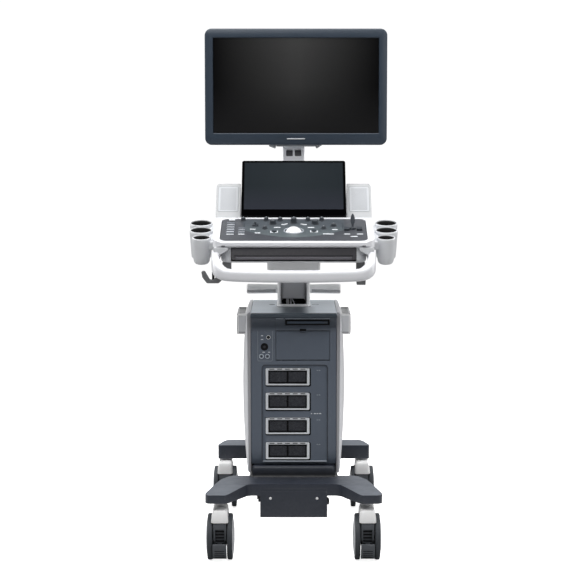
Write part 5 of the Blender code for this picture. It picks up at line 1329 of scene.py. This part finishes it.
def deck_panel(looks):
    """The control deck's face and everything that is printed or set into it."""
    bed = pillow(rect(-0.1984, 0.1984, 0.0053, 0.1984, 0.0209, 10), -0.0042, -0.0008, 0.0002)
    piece("deck_bed", moved(bed, DECK), looks["black"], "console")
    outline = rect(-0.1972, 0.1972, 0.0065, 0.1972, 0.0198, 10)
    plate = pillow(outline, -0.0036, DECK_TOP, 0.0010)
    well = rod(0.0242, "Z", -0.02, 0.02, (0.0, 0.095, 0.0))
    holes = [rod(0.0034, "Z", -0.02, 0.02, (x, u, 0.0)) for _, x, u, _, _ in CONSOLE_KNOBS]
    for x, u, half_x, half_u in PRESSED_KEYS.values():
        gap = rect(x - half_x - KEY_GAP, x + half_x + KEY_GAP, u - half_u - KEY_GAP, u + half_u + KEY_GAP, 0.0020, 6)
        holes.append(prism(gap, "Z", -0.02, 0.02))
    stick = rod(0.0095, "Z", -0.02, 0.02, (0.1605, 0.1130, 0.0))
    plate = cut(plate, well, stick, *holes)
    piece("deck_plate", moved(plate, DECK), looks["deck"], "console", ["control_panel"], sharp=30)
    collar = turned([(0.0242, 0.0), (0.0246, 0.0012), (0.0258, 0.0016), (0.0272, 0.0012), (0.0278, 0.0)], "Z", steps=80, ring=True)
    piece("ball_collar", moved(collar, DECK @ Matrix.Translation((0.0, 0.095, DECK_TOP))), looks["faint_mark"], "console")
    deck_keys(looks)
    deck_marks(looks)


def deck_keys(looks):
    """The power button, freeze and print keys on their own bodies, and the fixed keys in their columns."""
    deck_key("power_cap", *PRESSED_KEYS["power"], 0.0021, looks["mark"], "power_button", ["power_button"],
             DECK_TOP + 0.0003, "white")
    ring = rect(-0.1705 - 0.0046, -0.1705 + 0.0046, 0.1870 - 0.0010, 0.1870 + 0.0010, 0.0009, 5)
    piece("power_line", moved(pillow(ring, DECK_TOP + 0.0020, DECK_TOP + 0.0026, 0.0002), DECK), looks["rim"], "power_button")
    for name in ("freeze", "print"):
        deck_key(f"{name}_cap", *PRESSED_KEYS[name], 0.0048, looks["knob"], f"{name}_key", [f"{name}_key"],
                 DECK_TOP + 0.0008)
    column = [(-0.1720, u, 0.0115) for u in (0.1550, 0.1345, 0.1140, 0.0930, 0.0720)]
    column += [(-0.1415, u, 0.0092) for u in (0.1110, 0.0915, 0.0720)]
    for k, (x, u, half) in enumerate(column):
        deck_key(f"column_key_{k + 1}", x, u + 0.0045, half, 0.0056, 0.0016, looks["deck_key"])
    for sign, x, u in ((-1, -0.0250, 0.1485), (1, 0.0275, 0.1476)):
        arc = [(x + 0.0085 * t, u + 0.0016 - sign * 0.0032 * t - 0.0026 * (1 - t * t)) for t in (-1, -0.5, 0, 0.5, 1)]
        strip = [(px, pu + 0.0026) for px, pu in reversed(arc)] + [(px, pu - 0.0022) for px, pu in arc]
        bar = pillow(rounded(strip, 0.0010, 3), 0.0, 0.0026, 0.0007)
        piece(f"curved_key_{'left' if sign < 0 else 'right'}", moved(bar, DECK), looks["mark"], "console")
    for k, x in enumerate((-0.1360, 0.1340)):
        slot = pillow(rect(x - 0.0016, x + 0.0016, 0.1150, 0.1700, 0.0015), 0.0, DECK_TOP + 0.0003, 0.0001)
        piece(f"slider_slot_{k + 1}", moved(slot, DECK), looks["key"], "console")


def deck_mark(x, u, half_x, half_u, raised=0.0002):
    outline = rect(x - half_x, x + half_x, u - half_u, u + half_u, 0.8 * min(half_x, half_u), 3)
    return moved(pillow(outline, 0.0, DECK_TOP + raised, 0.0001, 1), DECK)


def deck_marks(looks):
    """Blank pale bars where a control's caption sits, and the brackets with two dots beside the ball."""
    bright, faint = [], []
    for u in (0.1495, 0.1290, 0.1085, 0.0875, 0.0665):
        bright.append(deck_mark(-0.1720, u - 0.0010, 0.0102, 0.0026))
    for u in (0.1055, 0.0860, 0.0665):
        bright.append(deck_mark(-0.1415, u - 0.0010, 0.0088, 0.0026))
    for x, u, half in ((-0.0450, 0.1240, 0.0092), (0.0470, 0.1230, 0.0092), (-0.1110, 0.1080, 0.0078), (-0.0980, 0.0760, 0.0080),
                       (0.0940, 0.0670, 0.0150), (0.1120, 0.1050, 0.0075), (0.1440, 0.0665, 0.0085), (0.1790, 0.0665, 0.0085),
                       (0.1625, 0.0460, 0.0095)):
        bright.append(deck_mark(x, u, half, 0.0029))
    for x, u in ((-0.0530, 0.0850), (0.0550, 0.0880)):
        for sign in (-1, 1):
            bright.append(deck_mark(x + sign * 0.0090, u + 0.0015, 0.0014, 0.0080))
            bright.append(deck_mark(x + sign * 0.0060, u - 0.0055, 0.0034, 0.0014))
    for x, u, half in ((-0.1390, 0.1800, 0.0050), (-0.0760, 0.1800, 0.0046), (0.0770, 0.1800, 0.0046), (0.0390, 0.1790, 0.0046),
                       (-0.0375, 0.1790, 0.0046), (-0.1050, 0.1380, 0.0050), (0.1110, 0.1260, 0.0050)):
        faint.append(deck_mark(x, u, half, 0.0008))
    piece("deck_captions", merge(*bright), looks["mark"], "console")
    piece("deck_faint_captions", merge(*faint), looks["faint_mark"], "console")
    for k, (x, u) in enumerate(((-0.0530, 0.0895), (0.0550, 0.0920))):
        deck_key(f"ball_key_{k + 1}", x, u, 0.0058, 0.0058, 0.0030, looks["key"])


def trackball(looks):
    """The ball in its well."""
    profile = [(0.025 * math.sin(math.pi * k / 40), -0.025 * math.cos(math.pi * k / 40)) for k in range(41)]
    ball = turned([(0.0 if k in (0, 40) else r, h) for k, (r, h) in enumerate(profile)], "Z", steps=80)
    piece("ball", moved(ball, DECK @ Matrix.Translation((0.0, 0.095, -0.0128))), looks["ball"], "trackball",
          ["trackball"], sharp=60)


def joystick(looks):
    """The upright paddle on its round stub, with a rubber gaiter below."""
    foot = DECK @ Vector((0.1605, 0.1130, 0.0))
    half = smooth([(0.0028, 0.0), (0.0034, 0.010), (0.0062, 0.0205), (0.0052, 0.0305), (0.0016, 0.0400)], 5)
    outline = [(foot.x + p[0], foot.z + 0.002 + p[1]) for p in half]
    outline += [(foot.x - p[0], foot.z + 0.002 + p[1]) for p in reversed(half)]
    leaf = prism(outline, "Y", foot.y - 0.0022, foot.y + 0.0022)
    piece("joystick_leaf", leaf, looks["paddle"], "joystick", ["joystick"], bevel=0.0013)
    stub = [(0.0, -0.005), (0.0066, -0.003), (0.0078, -0.0012), (0.0082, 0.0006), (0.0074, 0.0018), (0.0078, 0.0028),
            (0.0060, 0.0044), (0.0040, 0.0062), (0.0, 0.0066)]
    piece("joystick_gaiter", turned(stub, "Z", foot, 48), looks["knob"], "joystick", sharp=60)


def drawer(looks):
    """The keyboard drawer: tall dark front with a rounded top, a pull lip and rows of keys inside."""
    front = smooth([(-0.2925, 0.8088), (-0.2943, 0.8096), (-0.2945, 0.8130), (-0.2945, 0.8370), (-0.2938, 0.8402), (-0.2915, 0.8410)], 4)
    section = [tuple(p) for p in front] + [(-0.2850, 0.8410), (-0.2850, 0.8280), (-0.1000, 0.8280), (-0.1000, 0.8400),
                                           (-0.0950, 0.8400), (-0.0950, 0.8088)]
    piece("drawer_box", prism(section, "X", -0.166, 0.166), looks["drawer"], "keyboard", ["keyboard_tray"], sharp=30,
          bevel=0.0006)
    lip = rounded([(-0.2940, 0.8092), (-0.2940, 0.8178), (-0.2965, 0.8178), (-0.3000, 0.8150), (-0.3000, 0.8105), (-0.2985, 0.8092)],
                  0.0012, 4)
    piece("drawer_lip", prism(lip, "X", -0.155, 0.155), looks["drawer_lip"], "keyboard", bevel=0.0008)
    line = box((-0.1590, -0.2950, 0.8190), (0.1590, -0.2938, 0.8206))
    piece("drawer_line", line, looks["black"], "keyboard", bevel=0.0003)
    keys = []
    for row in range(5):
        for k in range(15):
            x = -0.1470 + 0.0196 * k + 0.0015 * (row % 3)
            y = -0.2700 + 0.0330 * row
            keys.append(moved(pillow(rect(x, x + 0.0170, y, y + 0.0250, 0.0020, 3), 0.8275, 0.8312, 0.0012, 2), Matrix.Identity(4)))
    piece("drawer_keys", merge(*keys), looks["key"], "keyboard")


TOUCH = Matrix.Translation((0.0, -0.090, 0.9138)) @ Matrix.Rotation(math.pi / 2 - math.atan2(0.128, 0.149), 4, "X")


def touch_panel(looks):
    """The tilting touch screen: thin slab with rounded edge, flush glass, back box and hinge barrel."""
    outline = rect(-0.1465, 0.1465, 0.0, 0.1966, 0.006, 8)
    rings = []
    for w, shrink in ((-0.0160, 0.0040), (-0.0157, 0.0022), (-0.0146, 0.0008), (-0.0125, 0.0), (-0.0016, 0.0), (-0.0008, 0.0003)):
        rings.append([(u, v, w) for u, v in inset(outline, shrink)])
    piece("touch_body", moved(loft(rings), TOUCH), looks["black"], "touch_panel", ["touch_screen"], sharp=45)
    glass = pillow(inset(outline, 0.0008), -0.0010, 0.0, 0.0005)
    piece("touch_glass", moved(glass, TOUCH), looks["touch"], "touch_panel")
    back = pillow(rect(-0.110, 0.110, 0.030, 0.150, 0.010), 0.0, 0.0110, 0.004)
    flip = TOUCH @ basis((0, 0, -0.0150), -X_AXIS, Y_AXIS, -Z_AXIS)
    piece("touch_back", moved(back, flip), looks["dark"], "touch_panel")
    vents = [box((-0.080, 0.058 + 0.007 * k, 0.0104), (0.080, 0.0605 + 0.007 * k, 0.0112)) for k in range(9)]
    piece("touch_vents", moved(merge(*vents), flip), looks["black"], "touch_panel", bevel=0.0002)
    barrel = rod(0.0062, "X", -0.0660, 0.0660, (0.0, -0.0745, 0.9025), 0.001, 40)
    piece("touch_barrel", barrel, looks["dark"], "touch_panel")


# ---------------------------------------------------------------- cups and hooks

CUPS = ((-0.0045, -0.0715, 0.0255, 0.074), (0.0, 0.0, 0.0315, 0.083), (0.003, 0.0715, 0.0315, 0.090))
CUP_X = 0.2545


def cup_bank(side, sign, looks):
    """Three tapered transducer cups on a rail, each with a dark rubber liner, leaning forward."""
    place = Matrix.Translation((sign * CUP_X, -0.150, 0.879)) @ Matrix.Rotation(math.radians(12), 4, "X")
    inner = 0.2171 - CUP_X
    low, high = sorted((sign * inner, sign * (inner + 0.0140)))
    outline = rounded([(-0.085, -0.034), (0.077, -0.034), (0.077, -0.008), (-0.085, -0.008)], 0.007, 8)
    rail = moved(prism(outline, "X", low, high), place)
    piece(f"cup_rail_{side}", rail, looks["cup"], "console", [f"cup_holder_{side}"], bevel=0.0020)
    shells, liners = [], []
    for out, back, radius, depth in CUPS:
        bore = radius - 0.0035
        wall = [(0.0, -depth), (radius * 0.60, -depth), (radius * 0.66, -depth + 0.0006), (radius * 0.76, -depth + 0.0030),
                (radius * 0.855, -depth + 0.0072), (radius * 0.89, -depth + 0.0200), (radius * 0.97, -0.0200), (radius, -0.0060),
                (radius - 0.0002, -0.0030), (radius - 0.0008, -0.0008), (radius - 0.0016, 0.0), (bore + 0.0008, 0.0),
                (bore + 0.0002, -0.0008), (bore, -0.0030), (bore, -0.0200), (bore * 0.84, -depth + 0.0105), (0.0, -depth + 0.0100)]
        shells.append(turned(wall, "Z", (sign * out, back, 0.0), 72))
        skin = [(bore * 0.835, -depth + 0.0100), (bore - 0.0001, -0.0200), (bore + 0.0001, -0.0045), (bore + 0.0001, -0.0030),
                (bore - 0.0002, -0.0022), (bore - 0.0009, -0.0022), (bore - 0.0018, -0.0032), (bore - 0.0020, -0.0200),
                (bore * 0.84 - 0.0024, -depth + 0.0124), (0.0, -depth + 0.0124), (0.0, -depth + 0.0102)]
        liners.append(turned(skin, "Z", (sign * out, back, 0.0), 64, ring=True))
    piece(f"cups_{side}", moved(merge(*shells), place), looks["cup"], "console", sharp=50)
    piece(f"cup_liners_{side}", moved(merge(*liners), place), looks["liner"], "console", sharp=50)


def hook(side, sign, turn, looks):
    """The swivelling cable hook under the console: pivot block, arm and upturned leaf."""
    place = Matrix.Translation((sign * 0.180, -0.250, 0.8000)) @ Matrix.Rotation(turn, 4, "Z")
    outline = rounded([(-0.012, 0.0), (0.012, 0.0), (0.012, -0.020), (0.036, -0.0485), (0.046, -0.0485), (0.060, -0.025),
                       (0.069, -0.0250), (0.066, -0.041), (0.054, -0.0575), (0.022, -0.0575), (-0.012, -0.024)][::-1],
                      [0.004, 0.006, 0.008, 0.004, 0.003, 0.003, 0.005, 0.006, 0.005, 0.002, 0.002], 5)
    peg = rod(0.0035, "Z", -0.0500, -0.0270, (0.0370, 0.0, 0.0), 0.0012, 32)
    piece(f"hook_peg_{side}", moved(peg, place), looks["liner"], f"hook_{side}")
    body = moved(prism(outline, "Y", -0.0118, 0.0118), place)
    piece(f"hook_{side}", body, looks["hook"], f"hook_{side}", [f"cable_hook_{side}"], bevel=0.0024)
    pin = rod(0.0045, "Z", -0.0170, -0.0010, (0.0, 0.0, 0.0))
    piece(f"hook_pin_{side}", moved(pin, place), looks["steel"], f"hook_{side}")


# ---------------------------------------------------------------- monitor and its arm

MONITOR = (0.0065, 0.262, 1.1050, 1.4375)  # middle X, half width, lower and upper edge
ELBOW, WRIST, TILT = (0.150, 0.985), (0.240, 1.165), (0.180, 1.262)


def monitor(looks):
    """The display: a bezel with a soft outer edge and a lip around the screen, and a bowed back."""
    x, half, z0, z1 = MONITOR
    outer = rect(x - half, x + half, z0, z1, 0.0200, 12)
    opening = rect(x - 0.2376, x + 0.2376, 1.1396, 1.4106, 0.0010, 12)
    rings = []
    for shrink, y in ((0.0040, 0.1300), (0.0012, 0.1292), (0.0, 0.1270), (0.0, 0.1140), (0.0006, 0.1122), (0.0018, 0.1110),
                      (0.0036, 0.1103), (0.0060, 0.1096)):
        rings.append([(px, y, pz) for px, pz in inset(outer, shrink)])
    for shrink, y in ((-0.0026, 0.1070), (-0.0021, 0.1071), (-0.0003, 0.1096), (0.0, 0.1102), (0.0, 0.1125)):
        rings.append([(px, y, pz) for px, pz in inset(opening, shrink)])
    piece("monitor_bezel", loft(rings), looks["bezel"], "monitor", ["monitor_housing"], sharp=50)
    screen = pillow(rect(x - 0.2375, x + 0.2375, 1.1397, 1.4105, 0.001), 0.0, 0.0034, 0.0004)
    piece("screen_glass", moved(screen, front_plane(0.1124)), looks["screen"], "monitor", ["monitor_screen"])
    badge = pillow(rect(x - 0.0260, x + 0.0260, 1.1217, 1.1247, 0.0014), 0.0, 0.0005, 0.0002)
    piece("bezel_badge", moved(badge, front_plane(0.1072)), looks["mark"], "monitor")
    monitor_back(looks)


def monitor_back(looks):
    """The bowed rear shell with vents and four mounting screws, the hinge lugs and the silver wings below."""
    x, half, z0, z1 = MONITOR
    back = rect(x - 0.190, x + 0.190, 1.185, 1.400, 0.020, 10)
    rings = []
    for shrink, y in ((-0.0060, 0.1285), (-0.0040, 0.1300), (0.0, 0.1330), (0.0020, 0.1400), (0.0050, 0.1455), (0.0110, 0.1488),
                      (0.0180, 0.1500)):
        rings.append([(px, y, pz) for px, pz in inset(back, shrink)])
    shell = loft(rings)
    slots = [prism(rect(x - 0.150 + 0.0125 * k, x - 0.1445 + 0.0125 * k, 1.362, 1.384, 0.0024, 4), "Y", 0.147, 0.160)
             for k in range(25)]
    shell = cut(shell, merge(*slots))
    piece("monitor_back", shell, looks["bezel"], "monitor", sharp=40)
    lugs = []
    for sign in (-1, 1):
        low, high = sorted((sign * 0.0287, sign * 0.0400))
        lug = rounded([(0.1460, 1.2440), (0.1830, 1.2470), (0.1935, 1.2560), (0.1935, 1.2680), (0.1830, 1.2770), (0.1460, 1.2800)],
                      [0.002, 0.008, 0.006, 0.006, 0.008, 0.002], 5)
        lugs.append(prism(lug, "X", low, high))
        lugs.append(rod(0.0062, "X", low - 0.0004, high + 0.0004, (0.0, *TILT)))
    piece("monitor_lugs", merge(*lugs), looks["silver"], "monitor", bevel=0.0010)
    wings = []
    for sign in (-1, 1):
        a, b = sorted((x + sign * 0.0550, x + sign * 0.0780))
        tip = x + sign * 0.0600
        outline = [(a, 1.1900), (a, 1.1010), (tip, 1.0940), (b, 1.1060), (b, 1.1900)]
        wings.append(prism(rounded(outline, 0.0015, 4), "Y", 0.1275, 0.1420))
    wings.append(box((x - 0.056, 0.1285, 1.1000), (x + 0.056, 0.1350, 1.1300)))
    piece("monitor_wings", merge(*wings), looks["silver"], "monitor", bevel=0.0012)
    screws = []
    for dx in (-0.0375, 0.0375):
        for dz in (-0.0375, 0.0375):
            head = screw_head((0, 0, 0), 0.0034)
            screws.append(moved(head, basis((x + dx, 0.1500, 1.2925 + dz), -X_AXIS, -Y_AXIS, Z_AXIS)))
    piece("monitor_screws", merge(*screws), looks["steel"], "monitor")


def capsule(a, b, radius, steps=16):
    a, b = Vector(a), Vector(b)
    turn = math.atan2(b.y - a.y, b.x - a.x)
    points = []
    for centre, start in ((a, turn + math.pi / 2), (b, turn - math.pi / 2)):
        for k in range(steps + 1):
            t = start + math.pi * k / steps
            points.append((centre.x + radius * math.cos(t), centre.y + radius * math.sin(t)))
    return points


def monitor_arm(looks):
    """Turntable and post, the forked lift link with its windows and pin heads, and the level bracket."""
    disc = [(0.0, 0.9255), (0.0285, 0.9255), (0.0298, 0.9264), (0.0300, 0.9280), (0.0300, 0.9370), (0.0290, 0.9392), (0.0268, 0.9400),
            (0.0, 0.9400)]
    post = [(0.0, 0.9390), (0.0190, 0.9390), (0.0165, 0.9410), (0.0148, 0.9450), (0.0140, 0.9520), (0.0140, 0.9850), (0.0, 0.9850)]
    base = merge(turned(disc, "Z", (0.0, 0.150, 0.0), 64), turned(post, "Z", (0.0, 0.150, 0.0), 56))
    piece("arm_post", base, looks["shell"], "arm_lower", ["arm_lower"], sharp=50)
    piece("arm_knuckle", rod(0.0174, "X", -0.0145, 0.0145, (0.0, *ELBOW), 0.0012, 56), looks["silver"], "arm_lower")
    beam = prism(capsule(ELBOW, WRIST, 0.018), "X", -0.031, 0.031)
    forks = [box((-0.0153, y - 0.026, z - 0.026), (0.0153, y + 0.026, z + 0.026)) for y, z in (ELBOW, WRIST)]
    angle = math.atan2(WRIST[1] - ELBOW[1], WRIST[0] - ELBOW[0])
    middle = Matrix.Translation((0.0, (ELBOW[0] + WRIST[0]) / 2, (ELBOW[1] + WRIST[1]) / 2)) @ Matrix.Rotation(angle, 4, "X")
    windows = [moved(prism(rect(x - 0.0095, x + 0.0095, -0.0125, 0.0085, 0.0025), "Z", -0.03, 0.03), middle)
               for x in (-0.0125, 0.0125)]
    piece("arm_link", cut(beam, *forks, *windows), looks["shell"], "arm_upper", ["arm_upper"], bevel=0.0018)
    liners = [moved(box((x - 0.0096, -0.0127, -0.0120), (x + 0.0096, 0.0087, 0.0120)), middle) for x in (-0.0125, 0.0125)]
    piece("arm_window_fill", merge(*liners), looks["well"], "arm_upper", bevel=0.0008)
    collar = moved(prism(rect(-0.0318, 0.0318, 0.0125, 0.0320, 0.003), "Z", -0.0184, 0.0186), middle)
    piece("arm_collar", collar, looks["silver"], "arm_upper", bevel=0.0012)
    studs = [moved(rod(0.0022, "Z", 0.0170, 0.0192, (-0.0150, 0.0265, 0.0), 0.0005, 24), middle),
             moved(rod(0.0032, "Z", 0.0170, 0.0196, (0.0140, 0.0225, 0.0), 0.0005, 24), middle)]
    piece("arm_studs", merge(*studs), looks["black"], "arm_upper")
    pins = []
    for y, z in (ELBOW, WRIST):
        pins.append(rod(0.0048, "X", -0.0306, -0.0160, (0.0, y, z)))
        pins.append(rod(0.0048, "X", 0.0160, 0.0306, (0.0, y, z)))
        pins.append(rod(0.0074, "X", -0.0318, -0.0300, (0.0, y, z)))
        pins.append(rod(0.0074, "X", 0.0300, 0.0318, (0.0, y, z)))
    piece("arm_pins", merge(*pins), looks["steel"], "arm_upper")
    side = [(0.1820, 1.2140), (0.1820, 1.1960), (0.2260, 1.1760), (0.2574, 1.1680), (0.2574, 1.1960), (0.2460, 1.2140)]
    platform = prism(rounded(side[::-1], [0.004, 0.006, 0.001, 0.006, 0.004, 0.002], 5), "X", -0.0145, 0.0145)
    bracket = merge(platform, rod(0.0174, "X", -0.0144, 0.0144, (0.0, *WRIST), 0.0012, 56))
    piece("level_bracket", bracket, looks["shell"], "bracket", ["monitor_bracket"], bevel=0.0010)
    hinge_disc = [(0.0, 1.2145), (0.0165, 1.2145), (0.0175, 1.2155), (0.0175, 1.2275), (0.0165, 1.2290), (0.0, 1.2290)]
    neck = rounded([(0.1740, 1.2280), (0.2120, 1.2280), (0.2060, 1.2620), (0.1690, 1.2620)], 0.003, 4)
    joint = merge(turned(hinge_disc, "Z", (0.0, 0.200, 0.0), 48), prism(neck, "X", -0.0110, 0.0110))
    piece("pan_joint", joint, looks["silver"], "monitor_hinge", ["monitor_hinge"], bevel=0.0010)
    piece("tilt_barrel", rod(0.0110, "X", -0.0280, 0.0280, (0.0, *TILT), 0.0012, 48), looks["steel"], "monitor_hinge")


# ---------------------------------------------------------------- pieces that stay as they are in the CAD

INSIDES = {
    "base_frame": "sheet", "body_chassis": "sheet", "electronics_unit": "steel", "drive_unit": "sheet", "fan_rotor": "black",
    "lift_cylinder": "dark", "lift_rod": "steel",
}


def inside_parts(looks):
    """The frame, chassis, electronics, drive, fan and gas spring keep their CAD shape and take a look and a soft edge."""
    for name, look in INSIDES.items():
        part = bpy.data.objects[name]
        part.data.materials.clear()
        part.data.materials.append(looks[look])
        modifier = part.modifiers.new("edges", "BEVEL")
        modifier.width = 0.0006
        modifier.segments = 2
        modifier.limit_method = "ANGLE"
        modifier.angle_limit = math.radians(40)
        modifier.harden_normals = True


# ---------------------------------------------------------------- studio


def area(name, location, target, size, power, colour=(1, 1, 1)):
    light = bpy.data.lights.new(name, "AREA")
    light.shape = "RECTANGLE"
    light.size, light.size_y = size
    light.energy = power
    light.color = colour
    made = bpy.data.objects.new(name, light)
    bpy.context.scene.collection.objects.link(made)
    made.location = location
    made.rotation_euler = (Vector(target) - Vector(location)).to_track_quat("-Z", "Y").to_euler()


def studio():
    """A white room: pale floor, soft boxes above and at both sides, and a gradient sky."""
    bm = bmesh.new()
    bmesh.ops.create_grid(bm, x_segments=8, y_segments=8, size=6.0)
    mesh = bpy.data.meshes.new("floor")
    bm.to_mesh(mesh)
    bm.free()
    floor = bpy.data.objects.new("floor", mesh)
    bpy.context.scene.collection.objects.link(floor)
    floor.data.materials.append(floor_paint())
    floor.location.z = -0.0005
    area("key_box", (-0.9, -2.0, 3.0), (0, 0, 0.8), (2.4, 1.6), 34)
    area("fill_box", (1.7, -2.2, 1.8), (0, 0, 0.8), (1.4, 2.0), 12)
    area("top_box", (0.0, 0.1, 3.2), (0, 0, 0.6), (2.2, 2.2), 52)
    area("rim_left", (-2.2, 0.8, 1.6), (0, 0, 0.7), (1.2, 2.2), 26)
    area("rim_right", (2.2, 0.8, 1.6), (0, 0, 0.7), (1.2, 2.2), 26)
    sky()


def floor_paint():
    """Near white to the camera, and a quiet grey to everything that the floor lights or is mirrored in."""
    made, tree, shader = blank("floor_paint")
    camera_ray = node(tree, "ShaderNodeLightPath").outputs["Is Camera Ray"]
    tone = ranged(tree, noise(tree, 1.5, 2.0), 0.97, 1.0)
    grey = node(tree, "ShaderNodeMix", {0: camera_ray, 2: 0.40, 3: tone}).outputs[0]
    colour = node(tree, "ShaderNodeCombineColor", {0: grey, 1: grey, 2: grey}).outputs[0]
    tree.links.new(colour, shader.inputs["Base Color"])
    tree.links.new(colour, shader.inputs["Emission Color"])
    shader.inputs["Roughness"].default_value = 0.9
    shader.inputs["Specular IOR Level"].default_value = 0.0
    glow = node(tree, "ShaderNodeMath", {0: camera_ray, 1: 0.85}, operation="MULTIPLY").outputs[0]
    tree.links.new(glow, shader.inputs["Emission Strength"])
    return made


def sky():
    """White towards the camera; as a light it is bright overhead and dim at eye level."""
    world = bpy.data.worlds.new("studio")
    bpy.context.scene.world = world
    world.use_nodes = True
    tree = world.node_tree
    background = tree.nodes["Background"]
    direction = node(tree, "ShaderNodeSeparateXYZ", {0: node(tree, "ShaderNodeTexCoord").outputs["Generated"]})
    height = ranged(tree, direction.outputs["Z"], 0.06, 0.85, 0.30, 0.85)
    rear = ranged(tree, direction.outputs["Y"], 0.0, 0.25, 0.0, 1.0)
    level = node(tree, "ShaderNodeMath", {0: height, 1: rear}, operation="ADD").outputs[0]
    camera_ray = node(tree, "ShaderNodeLightPath").outputs["Is Camera Ray"]
    strength = node(tree, "ShaderNodeMix", {0: camera_ray, 2: level, 3: 1.05}).outputs[0]
    tree.links.new(strength, background.inputs["Strength"])
    background.inputs["Color"].default_value = (1.0, 1.0, 1.0, 1.0)


def camera():
    data = bpy.data.cameras.new("camera")
    data.lens, data.sensor_width = 105.9, 36.0
    data.clip_end = 60.0
    data.shift_x = 0.0005
    made = bpy.data.objects.new("camera", data)
    bpy.context.scene.collection.objects.link(made)
    made.location = (0.0, -4.8915, 1.221)
    made.rotation_euler = (math.radians(90 - 6.25), 0.0, 0.0)
    bpy.context.scene.camera = made
    bpy.context.scene.view_settings.view_transform = "Standard"


# ---------------------------------------------------------------- assembly


def machine(looks):
    for name in ("front_left", "front_right", "rear_left", "rear_right"):
        caster(name, looks)
    base_cover(looks)
    power_module(looks)
    front_cover(looks)
    top_cover(looks)
    for side, sign in SIDES:
        side_cover(side, sign, looks)
    rear_cover(looks)
    port_panel(looks)
    input_panel(looks)
    drive_and_bay(looks)
    column(looks)
    rear_handle(looks)
    mast(looks)
    console_shell(looks)
    for side, sign in SIDES:
        speaker_wing(side, sign, looks)
        cup_bank(side, sign, looks)
    console_tub(looks)
    front_handle(looks)
    deck_panel(looks)
    console_knobs(looks)
    trackball(looks)
    joystick(looks)
    drawer(looks)
    touch_panel(looks)
    hook("left", -1, math.pi, looks)
    hook("right", 1, -math.pi / 2, looks)
    monitor(looks)
    monitor_arm(looks)
    inside_parts(looks)


LOOKS = make_looks()
machine(LOOKS)
studio()
camera()
